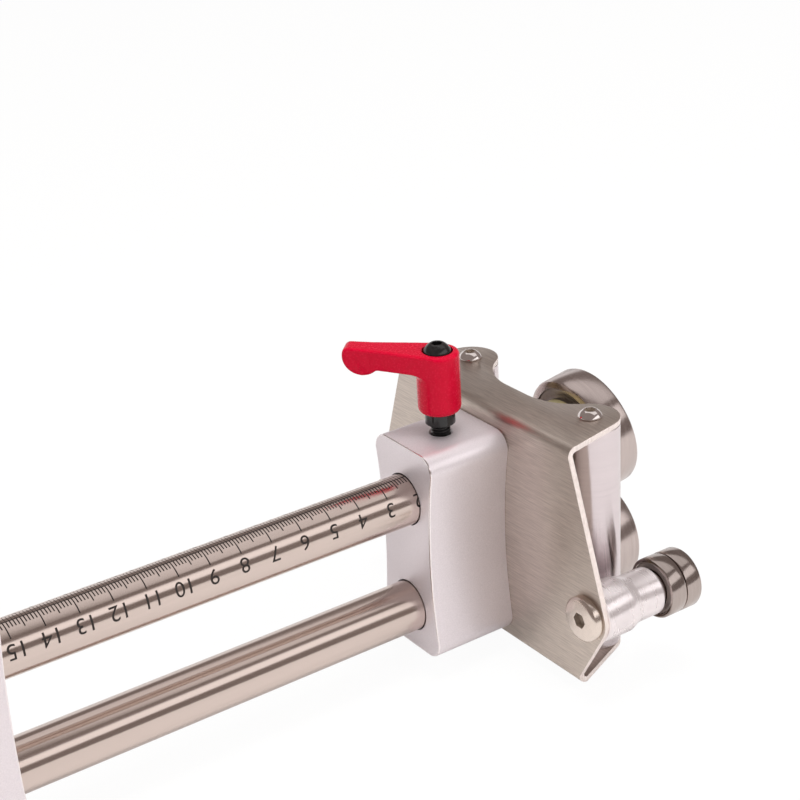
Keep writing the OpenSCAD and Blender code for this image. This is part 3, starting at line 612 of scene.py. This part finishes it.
plate = bmesh.new()
half = web_side()
web = [(PLATE_X, y, z) for y, z in half] + [(PLATE_X, -y, z) for y, z in reversed(half)]
face_of(plate, web)
for width, z, up in ((TOP_HALF, PLATE_UP, 1), (BOTTOM_HALF, PLATE_DOWN, -1)):
    hinge = (PLATE_X + BEND_OUT, 0, z - up * BEND_OUT)
    ends = [plate.verts.new((PLATE_X, side * width, z - up * BEND_OUT)) for side in (-1, 1)]
    bmesh.ops.spin(
        plate, geom=ends + [plate.edges.new(ends)], cent=hinge, axis=(0, 1, 0), dvec=(0, 0, 0),
        angle=up * math.pi / 2, steps=8, use_merge=False, use_duplicate=False,
    )
    half = flange_side(width)
    face_of(plate, [(x, y, z) for x, y in half] + [(x, -y, z) for x, y in reversed(half)])
bmesh.ops.remove_doubles(plate, verts=plate.verts, dist=1e-3)
bmesh.ops.recalc_face_normals(plate, faces=plate.faces)
print("sheet faces:", len(plate.faces), "open edges:", sum(e.is_boundary for e in plate.edges))

# %% [markdown]
# The face normals point out of the bend, so the thickness grows inwards.
# The faces along the cut are as wide as the sheet is thick, which is how they are told apart:
# they get a finish of their own, because the brushing doesn't reach them. Its paler colour is partly
# a painted highlight. Their edges are bevelled.

# %% Give the sheet its thickness
outside = plate.faces[:]
if sum(f.normal.x * f.calc_area() for f in outside) > 0:
    bmesh.ops.reverse_faces(plate, faces=outside)
bmesh.ops.solidify(plate, geom=plate.faces[:], thickness=SHEET_LOOK)
for face in plate.faces:
    if len(face.verts) == 4 and any(abs(e.calc_length() - SHEET_LOOK) < 0.02 for e in face.edges):
        face.material_index = 1
bevel(plate, [e for e in plate.edges if sharp(e)], CUT_BREAK, 2)
sheet = finish_piece(plate, "head_plate_dressed", "head", (BRUSHED, CUT_EDGE_AND_HIGHLIGHT), ["head_plate"])
print("cut edge faces:", sum(face.material_index for face in sheet.data.polygons))

# %% [markdown]
# ## Columns and screws
# Two turned columns hold the flanges apart, each with a button-head screw above and below.
# They are spun like the rods, from the same chamfered outline, and they stay upright.

# %% Columns
COLUMN_R, COLUMN_CHAMFER = 9.0, 0.5
column_low, column_high = PLATE_DOWN + PLATE_T, PLATE_UP - PLATE_T
for name, side in (("left", 1), ("right", -1)):
    bar = turned(chamfered_bar(COLUMN_R, column_high - column_low, COLUMN_CHAMFER), 128)
    moved(bar, to(COLUMN_X, side * COLUMN_Y, column_low))
    finish_piece(bar, name + "_column_turned", "head", COLUMN_STEEL, [name + "_column"])

# %% [markdown]
# A button-head screw is a dome on a shank. The dome is spun from an arc, so it stays smooth close up,
# and its hexagon socket is cut with a six-sided prism. The faces inside the socket get a painted shade of
# their own.

# %% Button-head screws


def socket(across, depth, top):
    """A six-sided prism that cuts a socket down from the given height."""
    bm = bmesh.new()
    radius = across / math.sqrt(3)
    bmesh.ops.create_cone(bm, cap_ends=True, segments=6, radius1=radius, radius2=radius, depth=depth + 1)
    bmesh.ops.translate(bm, vec=(0, 0, top + 0.5 - depth / 2), verts=bm.verts)
    return bm


def darkened(screw, across):
    """Gives the faces inside the socket the second material, a darker painted shade: no light gets back out
    of a deep socket.
    """
    for face in screw.faces:
        middle = face.calc_center_median()
        reach = max(v.co.xy.length for v in face.verts)
        if middle.z > 0 and middle.xy.length < 0.56 * across and reach < 0.6 * across:
            face.material_index = 1
    return screw


def button_screw(head_r, head_h, across, shank_r, length):
    """A domed screw that stands on Z = 0, with its shank below."""
    flat = 0.2 * head_h
    dome_r = (head_r ** 2 + head_h ** 2) / (2 * head_h)
    rim_h = head_h + flat - dome_r + math.sqrt(dome_r ** 2 - head_r ** 2)
    outline = [
        (0, -length), (shank_r - 0.4, -length), (shank_r, 0.5 - length), (shank_r, 0),
        (head_r - 0.15, 0), (head_r, 0.15),
    ]
    base = math.acos(head_r / dome_r)
    top = math.asin((dome_r - flat) / dome_r)
    for i in range(DOME_STEPS + 1):
        a = base + (top - base) * i / DOME_STEPS
        outline.append((dome_r * math.cos(a), max(0.16, rim_h + dome_r * (math.sin(a) - math.sin(base)))))
    outline.append((0, outline[-1][1]))
    return darkened(combined(turned(outline, 64), socket(across, head_h * 0.6, head_h)), across)


DOME_STEPS = 12
M4 = dict(head_r=3.8, head_h=2.2, across=3.0, shank_r=1.98, length=10)
UPSIDE_DOWN = Matrix.Rotation(math.pi, 4, "X")
for word, node, place in (
    ("above", "column_top_screws", to(COLUMN_X, COLUMN_Y, PLATE_UP)),
    ("below", "column_bottom_screws", to(COLUMN_X, COLUMN_Y, PLATE_DOWN) @ UPSIDE_DOWN),
):
    pair = mirrored(moved(button_screw(**M4), place))
    finish_piece(pair, "column_screws_" + word, "head", (SCREW, PAINTED_SOCKET_SHADE), [node])

# %% [markdown]
# ## Support arms
# Each arm is one turned piece: a thick foot, a cone, a slimmer neck and a spigot for two small bearings.
# A low-head screw holds it from the front of the plate.

# %% Arms and their screws
PLATE_IN = PLATE_X + PLATE_T
ARM_OUTLINE = [
    (0, 0), (8.2, 0), (8.6, 0.15), (8.8, 0.6), (8.8, 10.1), (8.72, 10.4), (7.58, 13.5), (7.5, 13.8),
    (7.5, 22.3), (7.1, 22.9), (6.9, 23.0), (5.5, 23.1), (5.5, 23.9), (3.98, 23.9), (3.98, 35.9), (0, 35.9),
]
for name, side in (("left", 1), ("right", -1)):
    arm = moved(turned(ARM_OUTLINE, 128), to(PLATE_IN, side * ARM_Y, ARM_Z) @ ALONG_X)
    finish_piece(arm, name + "_arm_turned", "head", TURNED, [name + "_arm"])

LOW_ACROSS, LOW_DEPTH, LOW_H = 4.5, 1.9, 3.2
LOW_HEAD = [
    (0, -13), (2.6, -13), (2.98, -12.6), (2.98, 0), (6.8, 0), (7.1, 0.25), (7.1, 2.3), (7.0, 2.5),
    (6.2, 3.1), (5.9, LOW_H), (0, LOW_H),
]
TO_FRONT = Matrix.Rotation(math.radians(-90), 4, "Y")
low_screw = darkened(combined(turned(LOW_HEAD, 96), socket(LOW_ACROSS, LOW_DEPTH, LOW_H)), LOW_ACROSS)
pair = mirrored(moved(low_screw, to(PLATE_X, ARM_Y, ARM_Z) @ TO_FRONT))
finish_piece(pair, "low_head_screws", "head", (NICKEL, PAINTED_SOCKET_SHADE), ["arm_screws"])

# %% [markdown]
# ## Bearings
# The rollers are ordinary ball bearings. An outer ring, an inner ring and two shields are spun from closed
# outlines, so each is a true ring. One set of proportions makes all sizes, as in a bearing catalogue.

# %% Rings and shields


def bearing(bore, outside, width, chamfer):
    """Outer ring, inner ring and shields of a ball bearing about Z. A groove runs round each shield."""
    pitch, ball = (bore + outside) / 4, 0.29 * (outside - bore)
    inner_r, outer_r = pitch - 0.3 * ball, pitch + 0.3 * ball
    seat = 0.7 * outer_r + 0.3 * outside / 2
    half, shy = width / 2, width / 2 - 0.1
    shelf, groove = half - 0.4 - 0.075 * width, 0.03 * width
    c, rim = chamfer, outside / 2
    outer = [
        (outer_r, -shelf), (seat, -shelf), (seat, 0.25 - shy), (seat + 0.2, -shy), (rim - c, -shy),
        (rim - 0.3 * c, 0.3 * c - shy), (rim, c - shy), (rim, shy - c), (rim - 0.3 * c, shy - 0.3 * c),
        (rim - c, shy), (seat + 0.2, shy), (seat, shy - 0.25), (seat, shelf), (outer_r, shelf),
    ]
    b = bore / 2
    inner = [
        (b, 0.5 * c - half), (b + 0.5 * c, -half), (inner_r - 0.2, -half), (inner_r, 0.2 - half),
        (inner_r, half - 0.2), (inner_r - 0.2, half), (b + 0.5 * c, half), (b, half - 0.5 * c),
    ]
    lip = inner_r + 0.3
    border = seat - groove
    cover = [
        (lip, 0), (seat - 0.02, 0), (seat - 0.02, 0.05), (border, 0.1), (border, 0.3), (border - 0.1, 0.4),
        (border - 0.7, 0.4), (border - 1.1, 0.2), (lip + 0.4, 0.2), (lip, 0.1),
    ]
    far = turned([(r, z + shelf) for r, z in cover], 96, True)
    near = turned([(r, -z - shelf) for r, z in cover], 96, True)
    return turned(outer, 128, True), turned(inner, 96, True), joined(far, near)


# %% [markdown]
# The lower roller's axis is level and the upper one leans by a few degrees, so that the two rims meet
# in a narrow gap. Each arm carries two small bearings side by side. Only the outer ring and its shields
# turn with the roller, and the inner ring stays with the head.

# %% Place the bearings
TILT = math.radians(9.4)
UPPER_AT = to(50.6, 0, 19.0164) @ Matrix.Rotation(math.radians(90) - TILT, 4, "Y")
LOWER_AT = to(54.1, 0, -19.85) @ ALONG_X
SMALL_W, FIRST_X = 6, PLATE_IN + 23.9
SEATS = {"upper": (17, 40, 11, 1.0, UPPER_AT), "lower": (15, 35, 11, 1.0, LOWER_AT)}
for name, side in (("right", -1), ("left", 1)):
    for number, word in enumerate(("near", "far")):
        place = to(FIRST_X + SMALL_W * (number + 0.5), side * ARM_Y, ARM_Z) @ ALONG_X
        SEATS[f"{name}_{word}"] = (8, 19, SMALL_W, 0.55, place)
for name, (bore, outside, width, chamfer, place) in SEATS.items():
    outer, inner, covers = bearing(bore, outside, width, chamfer)
    # The small bearings take the darker copy of the bearing steel, a painted shade.
    roller, steel = name + "_roller", SMALL_BEARING_SHADED if width == SMALL_W else BEARING
    for shape, word, body, slot, finish, node in (
        (outer, "_outer_ground", roller, "bearing_steel", steel, "_outer_ring"),
        (inner, "_inner_ground", "head", "bearing_steel", steel, "_inner_ring"),
        (covers, "_covers", roller, "shield_steel", SHIELD, "_shields"),
    ):
        finish_piece(moved(shape, place), name + word, body, finish, [name + node])

# %% [markdown]
# ## Upper axle
# The upper roller leans, and its axle does too: a level boss stands on the plate and is cut off square
# to the leaning journal. So the bar is laid level, sliced by the roller's own plane and closed again.
# The rim is broken with a small bevel, which is the bright line beside the roller.
# The tail has an odd number of sides, so that its corners don't fall on the boss's, which a Boolean can miss.

# %% Boss, journal and tail
BOSS_R, BOSS_LENGTH, BOSS_RIM = 12.9, 45, 0.7
JOURNAL_R, TAIL_R, TAIL_START, END_HOLE_R = 8.48, 4.98, 0.2, 3.0
UPPER_Z, UPPER_HALF = UPPER_AT.translation.z, 5.5
boss = moved(turned(plain_bar(BOSS_R, 0, BOSS_LENGTH), 128), to(PLATE_IN, 0, UPPER_Z) @ ALONG_X)
facing = UPPER_AT.to_3x3() @ Vector((0, 0, 1))
cut = sliced(boss, UPPER_AT @ Vector((0, 0, -UPPER_HALF)), facing, clear_outer=True)
rim = [e for e in cut if isinstance(e, bmesh.types.BMEdge)]
bmesh.ops.contextual_create(boss, geom=rim)
bevel(boss, rim, BOSS_RIM, 3)
journal = turned(chamfered_bar(JOURNAL_R, 2 * UPPER_HALF + 1, 0.4), 96)
moved(journal, UPPER_AT @ to(0, 0, -UPPER_HALF - 1))
tail = turned(chamfered_bar(TAIL_R, PLATE_IN + 1, 0.5), 63)
moved(tail, to(TAIL_START, 0, UPPER_Z) @ ALONG_X)
axle = combined(combined(boss, journal, "UNION"), tail, "UNION")
end_hole = moved(turned(plain_bar(END_HOLE_R, -8, 7), 48), UPPER_AT)
finish_piece(combined(axle, end_hole), "upper_axle_turned", "head", ZINC, ["upper_axle"])

# %% [markdown]
# ## Clamp lever
# The lever is die-cast and powder coated, so every edge is soft and the arm flows into the hub.
# The arm is a side outline pulled to its width, the hub is spun, and a Boolean unites them.
# A voxel remesh then lays one even skin over both, and a little smoothing rounds it as the powder does.

# %% The handle
HUB_BOTTOM, HUB_H, HUB_R = 43.8, 19.3, 6.6
TIP_AT, TIP_R, TIP_W, TIP_ROUND = (22.5, 17.9), 6.0, 6.4, 1.8
ARM_LEAN, ARM_T, NECK_R, CORNER_R = math.radians(3.0), 6.4, 1.0, 2.2
LEVER_AT = to(CLAMP_X, 0, HUB_BOTTOM) @ Matrix.Rotation(math.radians(135), 4, "Z")


def top_at(x):
    """Height of the arm's leaning top."""
    return HUB_H + x * math.tan(ARM_LEAN)


def handle_outline():
    """Side view of the arm as (X, Z): rising top, round tip and an eased neck below."""
    upright = math.pi / 2 + ARM_LEAN
    reach = TIP_R - TIP_ROUND
    above = (top_at(TIP_AT[0]) - TIP_AT[1]) * math.cos(ARM_LEAN) - TIP_ROUND
    turn = ARM_LEAN + math.asin(above / reach)
    nose_at = (TIP_AT[0] + reach * math.cos(turn), TIP_AT[1] + reach * math.sin(turn))
    neck_z = top_at(TIP_AT[0] - TIP_R) - ARM_T - NECK_R
    neck_at = (TIP_AT[0] - math.sqrt((TIP_R + NECK_R) ** 2 - (TIP_AT[1] - neck_z) ** 2), neck_z)
    meet = math.atan2(neck_at[1] - TIP_AT[1], neck_at[0] - TIP_AT[0])
    return [
        (0, HUB_H), *arc(nose_at, TIP_ROUND, upright, turn, 6), *arc(TIP_AT, TIP_R, turn, meet, 20)[1:],
        *arc(neck_at, NECK_R, meet + math.pi, upright, 5)[1:], (0, HUB_H - ARM_T),
    ]


def pulled_up(bm, face, vector):
    """Pulls a face to a solid."""
    grown = bmesh.ops.extrude_face_region(bm, geom=[face])["geom"]
    bmesh.ops.translate(bm, vec=vector, verts=[v for v in grown if isinstance(v, bmesh.types.BMVert)])
    bmesh.ops.recalc_face_normals(bm, faces=bm.faces)
    return bm


print("points in the arm's side view:", len(handle_outline()))

# %% [markdown]
# The side outline is pulled to a slab of unit width, and every point is then moved sideways:
# the arm is as wide as the hub at its root and narrows to the tip, so it leaves the hub without a step.

# %% Slab and taper
ARM_EDGE = 1.0
handle = bmesh.new()
pulled_up(handle, face_of(handle, [(x, -0.5, z) for x, z in handle_outline()]), (0, 1, 0))
for x in range(2, 22, 2):
    sliced(handle, (x, 0, 0), (1, 0, 0))
for vert in handle.verts:
    share = min(1.0, max(0.0, vert.co.x / TIP_AT[0]))
    vert.co.y *= 2 * HUB_R * (1 - share) + TIP_W * share
long_edges = [e for e in handle.edges if sharp(e) and e.verts[0].co.y * e.verts[1].co.y > 0]
bevel(handle, long_edges, ARM_EDGE, 3)
print("arm faces:", len(handle.faces))

# %% [markdown]
# The hollow corner below the arm is spun about the hub and trimmed to the same taper.
# Once arm, hub and corner are one skin, the recess for the spring and the bore for the insert are cut.

# %% Hub, corner and skin
VOXEL, SMOOTHINGS = 0.2, 12
RECESS_R, SHELF_Z = 4.7, 11.5
hub = turned([
    (0, 0), (HUB_R - 1.3, 0), (HUB_R - 0.7, 0.2), (HUB_R - 0.25, 0.7), (HUB_R, 1.5), (HUB_R, HUB_H - 1.0),
    (HUB_R - 0.3, HUB_H - 0.3), (HUB_R - 0.9, HUB_H), (0, HUB_H),
], 96)
under = top_at(HUB_R) - ARM_T
corner = turned([
    (0, under - CORNER_R), *arc((HUB_R + CORNER_R, under - CORNER_R), CORNER_R, math.pi, math.pi / 2, 8),
    (HUB_R + CORNER_R, under + 0.8), (0, under + 0.8),
], 96)
wedge = bmesh.new()
plan = [(0, -HUB_R, 0), (TIP_AT[0], -TIP_W / 2, 0), (TIP_AT[0], TIP_W / 2, 0), (0, HUB_R, 0)]
pulled_up(wedge, face_of(wedge, plan), (0, 0, HUB_H))
corner = combined(corner, wedge, "INTERSECT")
skin = combined(combined(handle, hub, "UNION"), corner, "UNION", VOXEL)
for _ in range(SMOOTHINGS):
    bmesh.ops.smooth_vert(
        skin, verts=skin.verts, factor=0.5, use_axis_x=True, use_axis_y=True, use_axis_z=True,
    )
recess = turned(plain_bar(RECESS_R, SHELF_Z, HUB_H + 3), 64)
bore = turned([(0, -1), (4.25, -1), (4.25, 8.3), (2.2, 8.3), (2.2, 12), (0, 12)], 64)
skin = combined(combined(skin, recess), bore)
finish_piece(moved(skin, LEVER_AT), "lever_handle_cast", "handle", RED, ["lever_handle"])

# %% [markdown]
# Under the hub show the blackened insert and the top turns of its threaded stud.
# A helical spin makes the thread: the zigzag outline climbs by one pitch while it goes round once.
# Both ends of the thread are then closed, so the stud is solid.

# %% Insert and stud
INSERT_R, INSERT_SHOW = 4.6, 4.1
CREST_R, ROOT_R, PITCH, TURNS, TURN_STEPS, STUD_LOW = 2.95, 2.4, 1.0, 10, 48, 29.0


def capped(bm):
    """Closes the open ends of a wound piece."""
    bmesh.ops.holes_fill(bm, edges=[e for e in bm.edges if e.is_boundary])
    return bm


collar = turned([
    (0, 0), (INSERT_R - 0.3, 0), (INSERT_R, 0.3), (INSERT_R, INSERT_SHOW - 0.15),
    (INSERT_R - 0.15, INSERT_SHOW), (0, INSERT_SHOW),
], 64)
moved(collar, to(CLAMP_X, 0, HUB_BOTTOM - INSERT_SHOW))
thread = bmesh.new()
zigzag = []
for turn in range(TURNS):
    z = turn * PITCH
    zigzag += [(CREST_R, z), (CREST_R, z + 0.15), (ROOT_R, z + 0.5), (ROOT_R, z + 0.65)]
zigzag.append((CREST_R, TURNS * PITCH))
verts = [thread.verts.new((r, 0, z)) for r, z in zigzag]
edges = [thread.edges.new(pair) for pair in zip(verts, verts[1:])]
bmesh.ops.spin(
    thread, geom=verts + edges, cent=(0, 0, 0), axis=(0, 0, 1), dvec=(0, 0, PITCH / TURN_STEPS),
    angle=math.tau, steps=TURN_STEPS, use_merge=False, use_duplicate=False,
)
bmesh.ops.remove_doubles(thread, verts=thread.verts, dist=1e-4)
insert = joined(collar, moved(capped(thread), to(CLAMP_X, 0, STUD_LOW)))
finish_piece(insert, "lever_insert_black", "lever_core", BLACK, ["lever_insert"])

# %% [markdown]
# A black button-head screw holds the handle on the insert. It comes from the same recipe as the column
# screws, with a larger head that stands a little proud of the hub.

# %% Top screw
HEAD_SEAT = HUB_H - 0.4
top_screw = button_screw(head_r=4.2, head_h=2.8, across=3.0, shank_r=1.98, length=17)
moved(top_screw, to(CLAMP_X, 0, HUB_BOTTOM + HEAD_SEAT))
black_pair = (BLACK, PAINTED_SHADE_BLACK_SOCKET)
finish_piece(top_screw, "lever_screw_black", "lever_core", black_pair, ["lever_screw"])

# %% [markdown]
# The handle can be lifted against a small spring, which sits under the head of that screw. A
# ring of wire is spun and raised at once, as a spring is wound, and its two ends are closed.

# %% Lever spring
SPRING_R, WIRE_R, SPRING_LOW, SPRING_HIGH, COILS = 3.35, 0.3, 12.1, 18.3, 4
COIL_STEPS, SQUEEZED = 32 * COILS, 0.46
coil = bmesh.new()
bmesh.ops.create_circle(coil, segments=10, radius=WIRE_R)
moved(coil, to(SPRING_R, 0, SPRING_LOW) @ Matrix.Rotation(math.radians(90), 4, "X"))
bmesh.ops.spin(
    coil, geom=coil.verts[:] + coil.edges[:], cent=(0, 0, 0), axis=(0, 0, 1),
    dvec=(0, 0, (SPRING_HIGH - SPRING_LOW) / COIL_STEPS), angle=COILS * math.tau, steps=COIL_STEPS,
    use_merge=False, use_duplicate=False,
)
moved(capped(coil), to(CLAMP_X, 0, HUB_BOTTOM))
spring = finish_piece(coil, "lever_spring_wound", "lever_core", SCREW, ["lever_spring"])
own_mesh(spring)

# %% [markdown]
# ## Pieces that stay as CAD solids
# The lower axle, the washers, balls, cages, hidden screws and the clamp pad have the right shape already.
# They only need a finish, so their material slots are filled and their meshes are left alone.

# %% Finishes for the CAD pieces
CAD_FINISH = {
    "axle_zinc": ZINC, "screw_steel": SCREW, "bearing_steel": BEARING, "shield_steel": SHIELD,
    "black_steel": BLACK, "spring_steel": SCREW, "pad_brass": BRASS, "rod_steel": ROD_STEEL,
    "block_aluminium": SATIN, "plate_steel": BRUSHED, "column_steel": COLUMN_STEEL,
    "arm_aluminium": TURNED, "arm_screw_nickel": NICKEL, "lever_red": RED,
}
slot_of = {row["node"]: row["material_slot"] for row in frame["record"]["subparts"]}
for node, solid in frame["nodes"].items():
    solid.data.materials.clear()
    solid.data.materials.append(CAD_FINISH[slot_of[node]])
print("CAD pieces with a finish:", len(frame["nodes"]))

# %% [markdown]
# ## Floor, light and camera
# The photograph is a cut-out on white, lit from large soft sources. The floor is white to the camera
# and to reflections, and still takes a little of the tool's shadow.
# Light Path tells who looks: a camera ray sees mostly the glow, and a mirror ray sees a part of it.

# %% Floor
FLOOR_DROP, FLOOR_WHITE, MIRROR_WHITE = 0.001, 0.93, 0.2
floor_bm = bmesh.new()
bmesh.ops.create_grid(floor_bm, x_segments=1, y_segments=1, size=6.0)
floor_mesh = bpy.data.meshes.new("floor")
floor_bm.to_mesh(floor_mesh)
floor_bm.free()
floor = bpy.data.objects.new("floor", floor_mesh)
floor.location.z = -FLOOR_DROP
bpy.context.collection.objects.link(floor)
paper = bpy.data.materials.new("floor_paper")
paper.use_nodes = True
tree = paper.node_tree
shader = tree.nodes["Principled BSDF"]
shader.inputs["Roughness"].default_value = 0.9
speck = grain(tree, (300, 300, 300))
tint = ramp(tree, speck, linear(0.87, 0.865, 0.86), linear(0.90, 0.895, 0.89))
link(tree, tint, shader.inputs["Base Color"])
glow = tree.nodes.new("ShaderNodeEmission")
glow.inputs["Strength"].default_value = 1.02
path = tree.nodes.new("ShaderNodeLightPath")
mirror = tree.nodes.new("ShaderNodeMath")
mirror.operation = "MULTIPLY"
mirror.inputs[1].default_value = MIRROR_WHITE
share = tree.nodes.new("ShaderNodeMath")
share.operation = "MULTIPLY_ADD"
share.inputs[1].default_value = FLOOR_WHITE
mix = tree.nodes.new("ShaderNodeMixShader")
link(tree, path.outputs["Is Glossy Ray"], mirror.inputs[0])
link(tree, path.outputs["Is Camera Ray"], share.inputs[0])
link(tree, mirror.outputs[0], share.inputs[2])
link(tree, share.outputs[0], mix.inputs["Fac"])
link(tree, shader.outputs["BSDF"], mix.inputs[1])
link(tree, glow.outputs["Emission"], mix.inputs[2])
link(tree, mix.outputs["Shader"], tree.nodes["Material Output"].inputs["Surface"])
floor_mesh.materials.append(paper)
print("floor at", floor.location.z, "m")

# %% [markdown]
# The world is white to the camera and a studio to everything else: pale below, and a warm grey above,
# with a soft edge between them. Polished metal shows that edge as the dark bands of a studio photograph.

# %% World
world = bpy.data.worlds.new("studio")
bpy.context.scene.world = world
world.use_nodes = True
sky = world.node_tree
ground = sky.nodes["Background"]
place = sky.nodes.new("ShaderNodeTexCoord")
slope = sky.nodes.new("ShaderNodeVectorMath")
slope.operation = "DOT_PRODUCT"
slope.inputs[1].default_value = (0, -0.3, 1)
edge = sky.nodes.new("ShaderNodeMapRange")
edge.inputs["From Min"].default_value = -0.04
edge.inputs["From Max"].default_value = 0.06
link(sky, place.outputs["Generated"], slope.inputs[0])
link(sky, slope.outputs["Value"], edge.inputs["Value"])
room = ramp(sky, edge.outputs["Result"], linear(0.96, 0.95, 0.95), linear(0.54, 0.50, 0.485), (0.0, 1.0))
link(sky, room, ground.inputs["Color"])
ground.inputs["Strength"].default_value = 1.0
white = sky.nodes.new("ShaderNodeBackground")
white.inputs["Color"].default_value = (1, 1, 1, 1)
path = sky.nodes.new("ShaderNodeLightPath")
see = sky.nodes.new("ShaderNodeMath")
see.operation = "MAXIMUM"
mix = sky.nodes.new("ShaderNodeMixShader")
link(sky, path.outputs["Is Camera Ray"], see.inputs[0])
link(sky, path.outputs["Is Transmission Ray"], see.inputs[1])
link(sky, see.outputs[0], mix.inputs["Fac"])
link(sky, ground.outputs["Background"], mix.inputs[1])
link(sky, white.outputs["Background"], mix.inputs[2])
link(sky, mix.outputs["Shader"], sky.nodes["World Output"].inputs["Surface"])
print("world:", world.name, "with", len(sky.nodes), "nodes")

# %% [markdown]
# Two large panels give the bright stripes along the rods, so they show in mirrors. Three more only light
# the tool, because their own reflections would cross the stripes.

# %% Lamps
MIDDLE = Vector((0.06, 0.0, 0.05))


def softbox(name, at, width, height, radiance, in_mirror=True):
    """A soft panel that faces the tool. Radiance is how bright it looks in a mirror, with 1 as white."""
    light = bpy.data.lights.new(name, "AREA")
    light.shape = "RECTANGLE"
    light.size, light.size_y = width, height
    light.energy = radiance * math.pi * width * height
    lamp = bpy.data.objects.new(name, light)
    lamp.location = at
    facing = (MIDDLE - Vector(at)).to_track_quat("-Z", "Y")
    lamp.rotation_euler = facing.to_euler()
    lamp.visible_glossy = in_mirror
    bpy.context.collection.objects.link(lamp)
    print(name, "gives", round(light.energy, 2), "W")


softbox("strip_panel", (0.46, -0.92, 0.70), 1.6, 0.48, 1.0)
softbox("top_panel", (0.46, 0.22, 1.18), 1.6, 0.85, 0.6)
softbox("ceiling_panel", (0.05, -0.1, 1.5), 0.5, 0.5, 15.5, in_mirror=False)
softbox("front_panel", (0.6, -1.0, 0.7), 0.8, 0.8, 3.6, in_mirror=False)
softbox("side_panel", (-1.1, -0.3, 0.7), 0.7, 0.7, 4.4, in_mirror=False)

# %% [markdown]
# The camera was found by fitting a lens to the scale's ticks and to the rods' outlines.
# Its place and its three axes are written in the drawing's frame, and the lens sees the whole photograph.

# %% Camera
LENS, SENSOR = 81.0, 36.0
CAMERA_AT = Vector((-287.6, -401.2, 271.1))
camera_data = bpy.data.cameras.new("photo_camera")
camera_data.sensor_width = SENSOR
camera_data.lens = LENS
camera_data.clip_start, camera_data.clip_end = 0.01, 50.0
camera = bpy.data.objects.new("photo_camera", camera_data)
RIGHT = Vector((0.81746, -0.57374, -0.05076))
DOWN = Vector((-0.27628, -0.31325, -0.90859))
FORWARD = Vector((0.5054, 0.75676, -0.41459))
pose = Matrix((RIGHT, -DOWN, -FORWARD)).transposed().to_4x4()
pose.translation = TO_MODEL @ CAMERA_AT
camera.matrix_world = pose
bpy.context.collection.objects.link(camera)
bpy.context.scene.camera = camera
bpy.context.scene.view_settings.view_transform = "Standard"
print("camera at", [round(v, 3) for v in pose.translation], "m")
